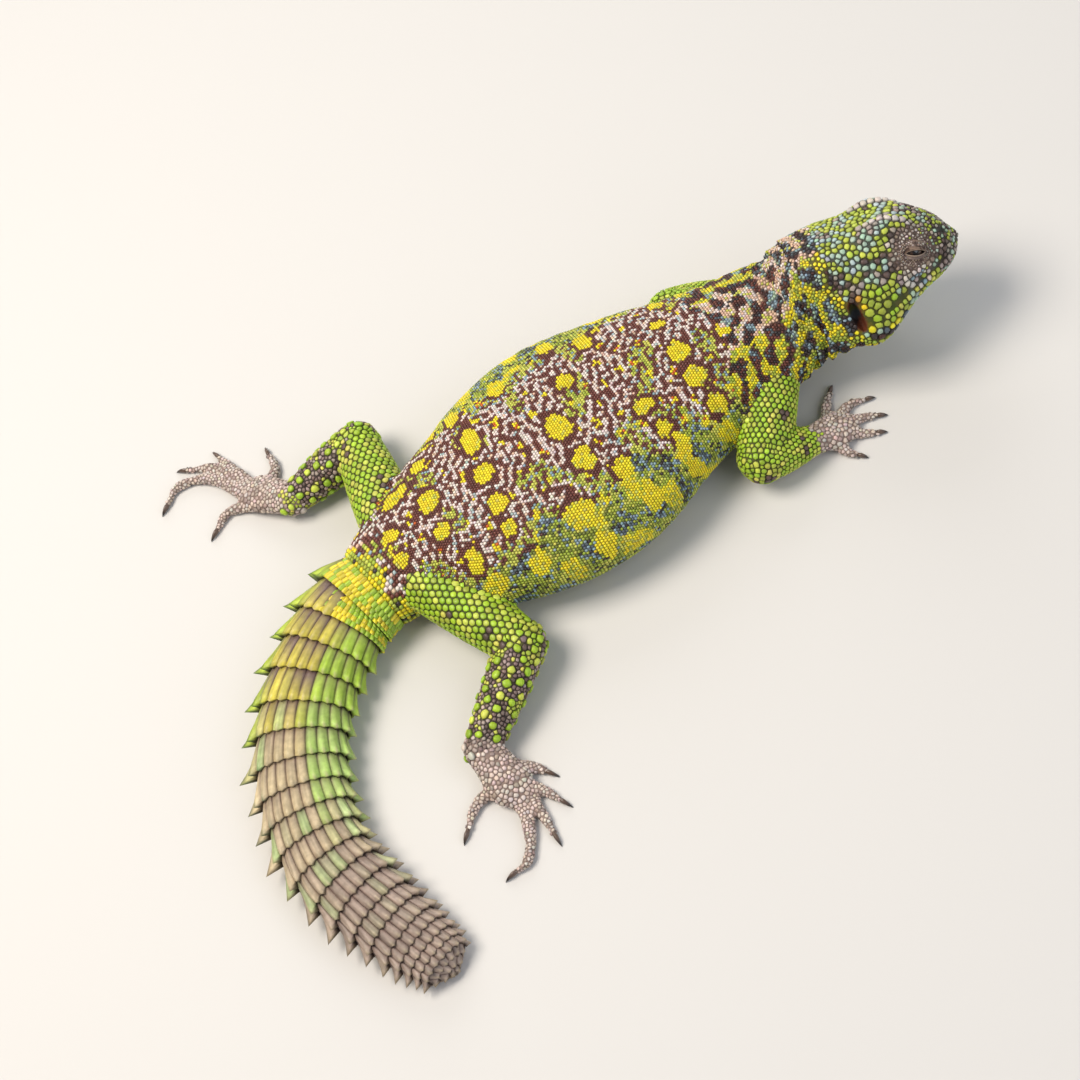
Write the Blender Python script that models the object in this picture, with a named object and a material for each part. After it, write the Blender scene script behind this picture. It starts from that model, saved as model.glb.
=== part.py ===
"""Ornate uromastyx, a spiny-tailed lizard, life size: belly on the ground, head raised and turned to its
right, tail swung round to its right, legs folded at its sides.

Units are metres. +X runs along the trunk to the head, +Y is the animal's left and +Z is up. The ground is
z = 0, and the origin lies on it, under the middle of the whole animal.
"""

import math
import random

import bmesh
import bpy
import numpy as np
from mathutils import Vector

MM = 0.001
GAP = 0.3 * MM  # clearance between two pieces that touch
MIDDLE = np.array([14.0, 2.19, 0.0])  # mm from the drawing's zero, under the trunk, to the animal's middle
SEED = 12

# The trunk, in millimetres: stations along X, then the axis and the half-sizes of the section at each.
TRUNK_X = [-42.7, -34, -24, -8, 8, 24, 42, 58, 70, 78]
TRUNK_Y = [15.5, 17.3, 18.0, 16.9, 16.8, 18.0, 19.2, 19.3, 19.2, 18.6]
TRUNK_Z = [8.6, 9.5, 10.5, 11.5, 12.0, 12.3, 12.5, 12.5, 13.0, 13.8]
TRUNK_WIDE = [12.8, 15.5, 21.0, 29.3, 33.8, 33.9, 28.2, 22.7, 19.4, 18.4]
TRUNK_UP = [9.0, 10.8, 12.4, 14.5, 16.0, 16.2, 15.6, 14.5, 13.4, 12.4]
TRUNK_DOWN = [9.3, 10.3, 11.5, 13.0, 13.6, 13.8, 13.8, 13.4, 12.6, 11.0]
TRUNK_SQUARE = 2.25  # 2 is an ellipse, more is squarer
TRUNK_RINGS = 20
TRUNK_SIDES = 26

# The head, in millimetres on its own axes: X to the snout, Y to its left, Z up, zero between the ears.
HEAD_AT = (107.5, 9.4, 25.1)
HEAD_YAW, HEAD_PITCH, HEAD_ROLL = -9.5, 8.0, -26.5  # degrees: to its right, nose up, right side up
HEAD_X = [-15.0, -10.5, -5.5, 0.0, 5.0, 9.0, 12.8, 15.8, 17.8, 18.8]
HEAD_LEVEL = [-2.6, -3.2, -3.6, -3.6, -3.2, -2.9, -2.7, -2.6, -2.4, -2.2]  # of the mouth line
HEAD_WIDE = [14.4, 15.3, 15.6, 14.4, 12.5, 11.0, 9.2, 7.1, 4.7, 2.4]
HEAD_TOP = [16.6, 15.6, 14.8, 14.6, 14.1, 12.5, 9.3, 6.2, 2.6, 0.3]
HEAD_LOW = [-11.4, -11.2, -10.8, -10.3, -9.6, -8.9, -8.2, -7.2, -5.8, -4.3]
HEAD_SQUARE = 2.3
HEAD_RINGS = 27
# Swellings and hollows of the head: centre, reach along X, Y and Z, and height, on both sides.
HEAD_FORMS = [
    ((4.5, 7.9, 11.6), (4.4, 2.2, 2.4), 2.0),  # brow ridge
    ((-12.0, 7.5, 11.5), (6.0, 4.5, 3.5), 1.6),  # muscle at the back of the head
    ((3.0, 0.0, 14.2), (5.0, 3.4, 2.5), -0.6),  # dip between the brows
    ((5.0, 5.8, 12.8), (4.5, 1.1, 1.4), 0.7),  # edge of the crown over the brow
    ((8.6, 10.0, 3.8), (3.0, 2.6, 2.8), 0.9),  # swelling round the eye
    ((8.0, 11.2, 0.2), (4.4, 1.6, 1.3), 0.6),  # ridge under the eye
    ((12.6, 5.8, 7.2), (3.2, 1.4, 1.4), 0.5),  # ridge from the brow to the snout
    ((-4.0, 11.0, 8.0), (3.5, 3.0, 2.6), -0.7),  # hollow of the temple
    ((13.2, 7.4, 3.8), (1.9, 2.2, 2.6), -0.7),  # hollow before the eye
    ((-3.5, 14.6, 0.5), (4.2, 3.0, 4.0), 0.7),  # jaw muscle
    ((-10.5, 15.0, -1.4), (1.7, 2.5, 3.8), -1.0),  # dish round the ear
    ((-8.5, 11.0, -9.6), (6.0, 4.4, 3.4), 4.4),  # jowl
    ((16.6, 3.8, 2.6), (1.6, 1.6, 1.6), 0.5),  # nostril swelling
]
MOUTH_BACK_X = -4.0
MOUTH_DEPTH = 0.55
LIP_BULGE = 0.28
EYE_AT = (8.2, 8.6, 3.6)
EYE_RADIUS = 2.8
LID_THICK = 0.75
EYE_SLIT = (2.5, 3.0, 0.7)  # half-sizes of the opening between the lids
EYE_TILT = -29.0  # degrees the slit slopes up to the front
EAR_AT = (-10.6, 14.9, -2.2)
EAR_SIZE = (1.25, 3.4, 4.2)
NOSTRIL_AT = (17.1, 4.2, 2.7)
NOSTRIL_SIZE = (0.75, 1.2, 0.6)

NECK_RINGS = 10
NECK_FOLDS = 4
FOLD_DEPTH = 0.035  # share of the neck's radius
NECK_WAIST = 0.05
# Loose skin that stands up at the nape and hangs at the throat: mm, how far along the neck, and its reach there.
NAPE_RISE, NAPE_AT, NAPE_REACH = 3.8, 0.62, 0.35
THROAT_DROP, THROAT_AT, THROAT_REACH = 2.6, 0.9, 0.3

# The tail, in millimetres: points of its axis on the ground plan, then half-sizes against length.
TAIL_PATH = [(-42.7, 15.5), (-49.8, 14.1), (-58.3, 9.6), (-72.7, -4.2), (-81.5, -23.9), (-83.2, -44.0),
             (-77.2, -64.0), (-69.2, -83.0), (-68.2, -85.8)]
TAIL_AT = [0, 10, 26, 47, 68, 88, 106, 118, 125, 129]
TAIL_WIDE = [12.8, 13.0, 12.7, 12.2, 11.4, 10.3, 9.2, 7.9, 6.3, 4.7]
TAIL_TALL = [9.0, 8.2, 7.3, 6.7, 6.2, 5.8, 5.2, 4.5, 3.8, 2.8]
TAIL_SINK = 0.75  # mm of the underside pressed flat on the ground
WHORLS = [7.0, 6.8, 7.4, 8.1, 8.6, 7.8, 8.1, 7.7, 6.9, 7.0, 7.2, 7.0, 6.5, 6.3, 5.3, 5.0, 3.7, 3.2, 2.7, 2.2]
TAIL_PARTS = {"tail_root": (0, 7), "tail_middle": (7, 13), "tail_end": (13, 20)}
TAIL_SIDES = 18
WHORL_STEP = 0.10  # share of the section by which a whorl's rear rim stands over the next whorl
SPINES = 10
SPINE_FROM, SPINE_TO = -14.0, 194.0  # degrees round the section, from low on one side to the other
SPINE_OUT = (1.2, 1.9, 4.4)  # mm a spine stands out on the back, on the inside of the tail's bend and outside it
SPINE_BACK = (1.5, 0.6)  # mm its point reaches behind the whorl's rim on the back and at the sides
SPINE_SUNK = 0.9
SPINE_ROOT = 0.36  # share of the whorl's length from its rim to the middle of a spine's root
SPINE_DEEP = 0.3  # share of the whorl's length that a spine's root reaches each way from there
SPINE_WAIST = (0.48, 0.56)  # how far up a spine its waist is, and the waist's width over the root's
SPINE_FILL = 0.8  # width of a spine's root over the spacing of the spines
SPINE_LOWEST = (1.5, 0.6)  # mm over the ground below which no spine's root or point goes
TAIL_TIP = ((1.6, 0.72), (2.4, 0.35))  # length past the last whorl and share of the section

# Limbs: joints in millimetres from shoulder or hip to the middle of the hand or foot, and radii.
LIMBS = {
    "front_right": dict(names=("upper_arm_right", "forearm_right", "hand_right"),
                        joints=[(70.0, 4.0, 13.0), (58.2, -10.8, 8.4), (71.0, -11.4, 4.2), (78.2, -11.0, 2.4)],
                        radii=[7.2, 6.7, 4.1, 5.4]),
    "front_left": dict(names=("upper_arm_left", "forearm_left", "hand_left"),
                       joints=[(70.0, 30.0, 13.0), (60.0, 42.0, 10.4), (74.6, 42.6, 4.6), (81.6, 40.0, 2.4)],
                       radii=[7.0, 6.0, 4.1, 5.4]),
    "hind_right": dict(names=("thigh_right", "shank_right", "foot_right"),
                       joints=[(-29.0, 7.0, 11.5), (-17.0, -21.8, 9.0), (-38.3, -38.8, 5.0), (-36.4, -50.2, 2.7)],
                       radii=[8.6, 6.4, 4.7, 6.0]),
    "hind_left": dict(names=("thigh_left", "shank_left", "foot_left"),
                      joints=[(-30.5, 27.0, 11.5), (-28.6, 58.4, 9.0), (-50.6, 56.8, 5.0), (-58.6, 66.4, 2.7)],
                      radii=[8.6, 6.4, 4.7, 6.0]),
}
LIMB_SIDES = 14
LIMB_FLAT, PALM_FLAT = 0.93, 0.45  # height of a limb's section over its width, down to that of the palm or sole
LIMB_SWELL = (0.05, 0.08, 0.0)  # share by which the middle of each length is fatter than its ends

# Digits: points of each from the palm to the tip on the ground plan, in millimetres, thumb or first toe first.
DIGITS = {
    "hand_right": [
        [(77.4, -6.2), (80.4, -1.8), (82.8, 0.8)],
        [(79.8, -7.6), (85.0, -6.0), (89.0, -7.0)],
        [(80.6, -10.2), (85.6, -11.4), (89.0, -13.0)],
        [(79.6, -12.8), (83.6, -15.8), (86.4, -17.2)],
        [(75.6, -14.0), (77.4, -18.2), (79.2, -20.2)],
    ],
    "hand_left": [
        [(81.6, 35.0), (84.8, 32.6), (88.0, 31.4)],
        [(84.2, 36.4), (89.0, 34.6), (93.2, 34.0)],
        [(85.6, 38.4), (90.8, 37.8), (95.0, 37.6)],
        [(85.0, 40.8), (89.6, 41.6), (93.4, 42.4)],
        [(82.0, 42.2), (85.2, 44.4), (88.0, 46.0)],
    ],
    "foot_right": [
        [(-33.0, -46.2), (-29.6, -48.6), (-27.2, -51.6)],
        [(-33.2, -51.8), (-29.8, -56.2), (-27.6, -60.2)],
        [(-34.6, -53.6), (-33.2, -60.2), (-33.0, -67.2)],
        [(-36.8, -54.0), (-37.8, -63.0), (-41.4, -69.4), (-45.6, -70.2)],
        [(-40.0, -48.6), (-46.2, -49.4), (-51.2, -54.4)],
    ],
    "foot_left": [
        [(-55.6, 67.4), (-51.6, 72.2), (-51.6, 78.0)],
        [(-58.8, 70.4), (-61.8, 79.0), (-64.2, 86.4)],
        [(-60.6, 70.8), (-65.4, 82.2), (-74.0, 88.0)],
        [(-62.4, 69.6), (-69.0, 80.6), (-77.6, 84.2), (-82.8, 80.6)],
        [(-61.6, 64.6), (-68.4, 67.4), (-73.6, 64.2)],
    ],
}
DIGIT_RADII = {"hand": (1.75, 1.45, 1.05), "foot": (1.9, 1.6, 1.1)}
DIGIT_SIDES = 7
DIGIT_LIFT = 0.86  # height of a digit's axis over the ground, as a share of its radius
CLAW_LENGTH = {"hand": 2.4, "foot": 3.6}
CLAW_DROP = 25.0  # degrees a claw bends down and round along its length
CLAW_SLOPE, CLAW_THIN = 0.35, 0.7  # how steeply it drops as it bends, and its width over its height
CLAW_RINGS = ((0, 1.0), (0.55, 0.68), (0.97, 0.12))  # how far along, and share of the size at the root

COLOURS = {
    "dorsal_skin": ((0.30, 0.16, 0.10), 0.62), "green_skin": ((0.32, 0.46, 0.06), 0.58),
    "tail_scute": ((0.48, 0.42, 0.16), 0.55), "pale_skin": ((0.42, 0.33, 0.28), 0.66),
    "eye": ((0.03, 0.02, 0.015), 0.12), "claw": ((0.14, 0.11, 0.09), 0.4),
}


def unit(vector):
    return np.asarray(vector, float) / np.linalg.norm(vector)


def through(keys, values, at):
    """A smooth cubic through the values at the keys, with each slope taken from the neighbours on both sides."""
    keys, values, at = np.asarray(keys, float), np.asarray(values, float), np.asarray(at, float)
    slopes = np.gradient(values, keys, axis=0)
    first = np.clip(np.searchsorted(keys, at, side="right") - 1, 0, len(keys) - 2)
    span = keys[first + 1] - keys[first]
    part = (at - keys[first]) / span
    if values.ndim == 2:
        span, part = span[..., None], part[..., None]
    return (
        (2 * part**3 - 3 * part**2 + 1) * values[first]
        + (part**3 - 2 * part**2 + part) * span * slopes[first]
        + (3 * part**2 - 2 * part**3) * values[first + 1]
        + (part**3 - part**2) * span * slopes[first + 1]
    )


def oval(angles, wide, up, down, square):
    """Offsets across and up for points round a section that may be squarer than an ellipse."""
    across, rise = np.cos(angles), np.sin(angles)
    across = np.sign(across) * np.abs(across) ** (2 / square)
    rise = np.sign(rise) * np.abs(rise) ** (2 / square)
    return across * wide, rise * np.where(rise > 0, up, down)


def angles_round(sides):
    return np.arange(sides) * 2 * math.pi / sides


def trunk_ring(x, angles, grow=0.0):
    """A ring of the trunk at a station on X, with its underside pressed flat on the ground."""
    def axis(at):
        return np.array([at, through(TRUNK_X, TRUNK_Y, at), through(TRUNK_X, TRUNK_Z, at)])

    step = 0.5
    low, high = max(x - step, TRUNK_X[0]), min(x + step, TRUNK_X[-1])
    along = unit((axis(high) - axis(low)) * (1, 1, 0))
    left = np.cross((0, 0, 1), along)
    wide, up, down = (through(TRUNK_X, row, x) + grow for row in (TRUNK_WIDE, TRUNK_UP, TRUNK_DOWN))
    across, rise = oval(angles, wide, up, down, TRUNK_SQUARE)
    ring = axis(x) + across[:, None] * left + rise[:, None] * np.array([0, 0, 1.0])
    ring[:, 2] = np.maximum(ring[:, 2], -grow)
    return ring, along


def head_turn():
    """The head's axes as rows, forward, left and up: rolled, then pitched up, then turned."""
    yaw, pitch, roll = np.radians([HEAD_YAW, HEAD_PITCH, HEAD_ROLL])
    ahead = np.array([math.cos(yaw) * math.cos(pitch), math.sin(yaw) * math.cos(pitch), math.sin(pitch)])
    level = np.array([-math.sin(yaw), math.cos(yaw), 0])
    rise = np.cross(ahead, level)
    return np.array([ahead, level * math.cos(roll) + rise * math.sin(roll),
                     rise * math.cos(roll) - level * math.sin(roll)])


def head_place(points):
    return np.asarray(points, float) @ head_turn() + np.array(HEAD_AT)


def head_ring(x, angles):
    """A ring of the head on its own axes: an oval about the mouth line, swollen and hollowed by HEAD_FORMS."""
    level, wide, top, low = (through(HEAD_X, row, x) for row in (HEAD_LEVEL, HEAD_WIDE, HEAD_TOP, HEAD_LOW))
    across, rise = oval(angles, wide, top - level, level - low, HEAD_SQUARE)
    ring = np.stack([np.full_like(across, x), across, level + rise], axis=-1)
    outward = ring - np.array([x, 0, (top + low) / 2])
    outward /= np.maximum(np.linalg.norm(outward, axis=1), 0.5)[:, None]
    push = np.zeros(len(ring))
    for (fx, fy, fz), reach, height in HEAD_FORMS:
        for side in ((1, -1) if fy else (1,)):
            off = (ring - np.array([fx, fy * side, fz])) / np.array(reach)
            push += height * np.exp(-0.5 * (off**2).sum(axis=1))
    fade = np.clip((x - MOUTH_BACK_X) / 3.0, 0, 1)
    from_mouth = np.minimum(np.abs(np.sin(angles)), 1) * 57.3
    push += fade * (LIP_BULGE * np.exp(-((from_mouth - 9) / 6) ** 2) - MOUTH_DEPTH * np.exp(-(from_mouth / 3) ** 2))
    return ring + outward * push[:, None]


def tail_axis():
    """Lengths along the tail and a function that gives its axis point on the ground plan at a length."""
    keys = np.concatenate([[0], np.cumsum(np.linalg.norm(np.diff(TAIL_PATH, axis=0), axis=1))])
    fine = np.linspace(0, keys[-1], 400)
    plan = through(keys, TAIL_PATH, fine)
    run = np.concatenate([[0], np.cumsum(np.linalg.norm(np.diff(plan, axis=0), axis=1))])
    run *= sum(WHORLS) / run[-1] + 0.03
    return lambda at: np.array([np.interp(at, run, plan[:, 0]), np.interp(at, run, plan[:, 1])])


TAIL_AXIS = tail_axis()


def tail_frame(length):
    """The tail's axis point, its direction to the tip, its left side seen towards the head, and its half-sizes."""
    step = min(max(length, 0.2), 1.5)
    ahead = TAIL_AXIS(length + step) - TAIL_AXIS(max(length - step, 0))
    along = unit((*ahead, 0))
    wide, tall = through(TAIL_AT, TAIL_WIDE, length), through(TAIL_AT, TAIL_TALL, length)
    centre = np.array([*TAIL_AXIS(length), tall - TAIL_SINK])
    return centre, along, np.cross(along, (0, 0, 1)), wide, tall


def tail_ring(length, angles, share=1.0, grow=0.0):
    centre, _, left, wide, tall = tail_frame(length)
    across, rise = oval(angles, wide * share + grow, tall * share + grow, tall, TRUNK_SQUARE)
    ring = centre + across[:, None] * left + rise[:, None] * np.array([0, 0, 1.0])
    ring[:, 2] = np.maximum(ring[:, 2], 0)
    return ring


def new_object(name, mesh, colour):
    """Links an object with its own Principled material, and points its faces outwards."""
    rgb, rough = COLOURS[colour]
    material = bpy.data.materials.new(name)
    material.use_nodes = True
    shader = material.node_tree.nodes["Principled BSDF"]
    shader.inputs["Base Color"].default_value = (*rgb, 1)
    shader.inputs["Roughness"].default_value = rough
    mesh.materials.clear()
    mesh.materials.append(material)
    mesh.shade_smooth()
    item = bpy.data.objects.new(name, mesh)
    bpy.context.scene.collection.objects.link(item)
    return item


def finished(form, name):
    """Closes a bmesh up as a mesh: doubles merged, no slivers, faces outwards."""
    bmesh.ops.remove_doubles(form, verts=form.verts, dist=0.002 * MM)
    bmesh.ops.dissolve_degenerate(form, edges=form.edges, dist=0.002 * MM)
    bmesh.ops.recalc_face_normals(form, faces=form.faces)
    mesh = bpy.data.meshes.new(name)
    form.to_mesh(mesh)
    form.free()
    return mesh


def skin_rings(rings):
    """A bmesh over a stack of rings in millimetres, with a flat face at each end."""
    rings = (np.asarray(rings) - MIDDLE) * MM
    form = bmesh.new()
    rows = [[form.verts.new(point) for point in ring] for ring in rings]
    count = len(rows[0])
    for low, high in zip(rows, rows[1:]):
        for i in range(count):
            form.faces.new((low[i], low[(i + 1) % count], high[(i + 1) % count], high[i]))
    form.faces.new(rows[0])
    form.faces.new(rows[-1])
    bmesh.ops.recalc_face_normals(form, faces=form.faces)
    return form


def cut_by_plane(form, point, normal):
    """Takes away what lies beyond a plane, point in millimetres, and closes the cut with a flat face."""
    geometry = form.verts[:] + form.edges[:] + form.faces[:]
    bmesh.ops.bisect_plane(form, geom=geometry, plane_co=Vector((np.asarray(point) - MIDDLE) * MM),
                           plane_no=Vector(normal), clear_outer=True, dist=0.01 * MM)
    rim = [edge for edge in form.edges if edge.is_boundary]
    if rim:
        bmesh.ops.edgeloop_fill(form, edges=rim)
    bmesh.ops.recalc_face_normals(form, faces=form.faces)


def largest_closed(mesh):
    """Keeps the largest connected surface of a mesh, so that no scrap or sealed hollow stays."""
    form = bmesh.new()
    form.from_mesh(mesh)
    bmesh.ops.remove_doubles(form, verts=form.verts, dist=0.002 * MM)
    left, groups = set(form.verts), []
    while left:
        group, queue = set(), [left.pop()]
        while queue:
            vert = queue.pop()
            group.add(vert)
            for edge in vert.link_edges:
                other = edge.other_vert(vert)
                if other in left:
                    left.remove(other)
                    queue.append(other)
        groups.append(group)
    groups.sort(key=len)
    for group in groups[:-1]:
        bmesh.ops.delete(form, geom=list(group), context="VERTS")
    return finished(form, mesh.name)


def combine(body, pieces, operation, solver="EXACT"):
    """One Boolean of a mesh with a collection of closed meshes, applied; the pieces are removed."""
    holder = bpy.data.objects.new("body", body)
    bpy.context.scene.collection.objects.link(holder)
    group = bpy.data.collections.new("pieces")
    bpy.context.scene.collection.children.link(group)
    for piece in pieces:
        group.objects.link(bpy.data.objects.new("piece", piece))
    modifier = holder.modifiers.new("boolean", "BOOLEAN")
    modifier.operation = operation
    modifier.operand_type = "COLLECTION"
    modifier.collection = group
    modifier.solver = solver
    made = bpy.data.meshes.new_from_object(holder.evaluated_get(bpy.context.evaluated_depsgraph_get()))
    for item in [holder, *group.objects]:
        bpy.data.objects.remove(item)
    bpy.data.collections.remove(group)
    return largest_closed(made)


def ball(centre, radii, axes=None, sides=12):
    """A closed ball in millimetres, stretched by its radii along the rows of axes."""
    axes = np.eye(3) if axes is None else np.asarray(axes)
    form = bmesh.new()
    bmesh.ops.create_uvsphere(form, u_segments=sides, v_segments=max(sides // 2, 6), radius=1)
    for vert in form.verts:
        local = np.array(vert.co) * np.asarray(radii)
        vert.co = Vector((np.asarray(centre) + local @ axes - MIDDLE) * MM)
    return finished(form, "ball")


def build_torso():
    angles = angles_round(TRUNK_SIDES)
    stations = np.linspace(TRUNK_X[0], TRUNK_X[-1], TRUNK_RINGS)
    return new_object("torso", finished(skin_rings([trunk_ring(x, angles)[0] for x in stations]), "torso"),
                      "dorsal_skin")


def neck_rings(angles):
    """Rings swept from the trunk's front to the back of the head, drawn in and folded along the way."""
    start, out = trunk_ring(TRUNK_X[-1], angles)
    goal = head_place(head_ring(HEAD_X[0], angles))
    forward = head_turn()[0]
    start, goal = start + out * GAP / MM, goal - forward * GAP / MM
    reach = np.linalg.norm(goal.mean(axis=0) - start.mean(axis=0))
    rings = []
    for part in np.linspace(0, 1, NECK_RINGS):
        ring = ((2 * part**3 - 3 * part**2 + 1) * start + (3 * part**2 - 2 * part**3) * goal
                + (part**3 - 2 * part**2 + part) * reach * out + (part**3 - part**2) * reach * forward)
        fold = 1 - NECK_WAIST * math.sin(math.pi * part) ** 2
        fold -= FOLD_DEPTH * math.sin(math.pi * part) * math.sin(2 * math.pi * NECK_FOLDS * part)
        centre = ring.mean(axis=0)
        ring = centre + (ring - centre) * fold
        side = math.sin(math.pi * part) * np.sin(angles)
        ring[:, 2] += np.where(side > 0, NAPE_RISE * math.exp(-((part - NAPE_AT) / NAPE_REACH) ** 2),
                               THROAT_DROP * math.exp(-((part - THROAT_AT) / THROAT_REACH) ** 2)) * side
        rings.append(ring)
    return rings


def build_neck():
    return new_object("neck", finished(skin_rings(neck_rings(angles_round(TRUNK_SIDES))), "neck"), "dorsal_skin")


def head_angles():
    """Angles round the head's section, closer together at the two mouth lines."""
    half = np.radians([0, 4, 9, 17, 28, 40, 53, 66, 78, 90, 102, 114, 127, 140, 152, 163, 171, 176])
    return np.concatenate([half, half + math.pi])


def eye_axes(side):
    """Rows along the slit, out of the head and across the slit, for the eye on one side."""
    out = unit((0.22, side, 0.12))
    tilt = math.radians(EYE_TILT)
    along = unit(np.cross(out, (0, 0, 1)) * side)
    across = np.cross(along, out) * side
    along, across = along * math.cos(tilt) + across * math.sin(tilt), across * math.cos(tilt) - along * math.sin(tilt)
    return np.array([along, out, across]) @ head_turn()


def build_head():
    angles = head_angles()
    part = np.linspace(0, 1, HEAD_RINGS)
    stations = HEAD_X[0] + (HEAD_X[-1] - HEAD_X[0]) * np.sin(part * math.pi / 2) ** 0.92
    body = finished(skin_rings([head_place(head_ring(x, angles)) for x in stations]), "head")
    lids, hollows = [], []
    for side in (1, -1):
        flip = np.array([1, side, 1])
        eye = head_place(np.array(EYE_AT) * flip)
        axes = eye_axes(side)
        lids.append(ball(eye, [EYE_RADIUS + LID_THICK + GAP / MM] * 3, axes, 16))
        hollows.append(ball(eye, [EYE_RADIUS + GAP / MM] * 3, axes, 16))
        hollows.append(ball(eye + axes[1] * EYE_RADIUS, EYE_SLIT, axes, 16))
        hollows.append(ball(head_place(np.array(EAR_AT) * flip), EAR_SIZE, head_turn(), 14))
        hollows.append(ball(head_place(np.array(NOSTRIL_AT) * flip), NOSTRIL_SIZE, head_turn(), 8))
    body = combine(body, lids, "UNION")
    body = combine(body, hollows, "DIFFERENCE")
    new_object("head", body, "green_skin")
    for side, name in ((1, "eye_left"), (-1, "eye_right")):
        eye = head_place(np.array(EYE_AT) * (1, side, 1))
        new_object(name, ball(eye, [EYE_RADIUS] * 3, eye_axes(side), 12), "eye")


def spine_form(root, along, across, tip, deep, wide):
    """A tapered spine: a diamond root lying in the scute, a waist and a point."""
    corners = [(deep, 0), (0, wide), (-deep, 0), (0, -wide)]
    part, narrow = SPINE_WAIST
    waist = root + (tip - root) * part
    form = bmesh.new()
    low = [form.verts.new((root + along * a + across * b - MIDDLE) * MM) for a, b in corners]
    mid = [form.verts.new((waist + (along * a + across * b) * narrow - MIDDLE) * MM) for a, b in corners]
    point = form.verts.new((tip - MIDDLE) * MM)
    form.faces.new(low)
    for i in range(4):
        j = (i + 1) % 4
        form.faces.new((low[i], low[j], mid[j], mid[i]))
        form.faces.new((mid[i], mid[j], point))
    bmesh.ops.triangulate(form, faces=form.faces)
    return finished(form, "spine")


def whorl_spines(rear, long, share, draw):
    """The spines of one whorl, each a keel that rises to its rear rim; longest at the sides, none underneath."""
    centre, along, left, wide, tall = tail_frame(rear)
    size = wide / TAIL_WIDE[1]
    spines = []
    for angle in np.radians(np.linspace(SPINE_FROM, SPINE_TO, SPINES)):
        across, rise = oval(np.array([angle]), wide * share, tall * share, tall, TRUNK_SQUARE)
        out = unit(left * math.cos(angle) / wide + np.array([0, 0, math.sin(angle)]) / tall)
        side = abs(math.cos(angle)) ** 2
        stand, back = np.interp(side, (0, 1), (SPINE_OUT[0], SPINE_OUT[2 if math.cos(angle) > 0 else 1])), \
            np.interp(side, (0, 1), SPINE_BACK)
        vary = size * draw.uniform(0.9, 1.1)
        rim = centre + left * across[0] + np.array([0, 0, rise[0]])
        root = rim - along * long * SPINE_ROOT - out * SPINE_SUNK
        root[2] = max(root[2], SPINE_LOWEST[0])
        tip = rim + along * back * vary + out * stand * vary
        tip[2] = max(tip[2], SPINE_LOWEST[1])
        spacing = wide * math.pi * (SPINE_TO - SPINE_FROM) / 180 / (SPINES - 1) * SPINE_FILL
        spines.append(spine_form(root, along, np.cross(along, out), tip, long * SPINE_DEEP, spacing * 0.5))
    return spines


def build_tail():
    """Whorls that each slope out to a rear rim and step in to the next, with their spines fused on."""
    angles = angles_round(TAIL_SIDES)
    ends = np.concatenate([[0], np.cumsum(WHORLS)])
    draw = random.Random(SEED)
    gap, front_share, rim_share = GAP / MM, 1 - WHORL_STEP / 2, 1 + WHORL_STEP / 2
    for name, (first, last) in TAIL_PARTS.items():
        rings, spines = [], []
        for i in range(first, last):
            if i == 0:
                trunk_end, forward = trunk_ring(TRUNK_X[0], angles)
                rings.append(trunk_end - forward * gap)
            else:
                rings.append(tail_ring(ends[i], angles, front_share))
            rings.append(tail_ring(ends[i + 1] - gap, angles, rim_share))
            spines += whorl_spines(ends[i + 1] - gap, WHORLS[i], rim_share, draw)
        if last == len(WHORLS):
            rings += [tail_ring(ends[-1] + more, angles, share) for more, share in TAIL_TIP]
        body = combine(finished(skin_rings(rings), name), spines, "UNION", "MANIFOLD")
        if last < len(WHORLS):
            clear = [tail_ring(ends[last] - gap / 2, angles, front_share, gap),
                     tail_ring(ends[last + 1] - gap, angles, rim_share, gap)]
            body = combine(body, [finished(skin_rings(clear), "cutter")], "DIFFERENCE", "MANIFOLD")
        new_object(name, body, "tail_scute")


def capsule_rings(start, end, radii, flats, swell):
    """Rings of a limb length with a rounded end at each joint; radii are of its ends, and so are the two flats."""
    along = unit(np.subtract(end, start))
    left = unit(np.cross((0, 0, 1), along))
    up = np.cross(along, left)
    reach = np.linalg.norm(np.subtract(end, start))
    angles = angles_round(LIMB_SIDES)
    stations = [(math.sin(turn) * radii[0], math.cos(turn) * radii[0]) for turn in np.radians([-80, -55, -28])]
    for part in np.linspace(0, 1, 7):
        radius = radii[0] + (radii[1] - radii[0]) * part
        stations.append((part * reach, radius * (1 + swell * math.sin(math.pi * part))))
    stations += [(reach + math.sin(turn) * radii[1], math.cos(turn) * radii[1])
                 for turn in np.radians([28, 55, 80])]
    rings = []
    for distance, radius in stations:
        flat = np.interp(distance, (0, reach), flats)
        ring = (np.asarray(start) + along * distance + np.cos(angles)[:, None] * left * radius
                + np.sin(angles)[:, None] * up * radius * flat)
        ring[:, 2] = np.maximum(ring[:, 2], 0)
        rings.append(ring)
    return rings


def joint_plane(before, joint, after):
    """The plane that parts two limb lengths at their joint, by its normal towards the second."""
    return unit(unit(np.subtract(after, joint)) - unit(np.subtract(before, joint)))


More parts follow.
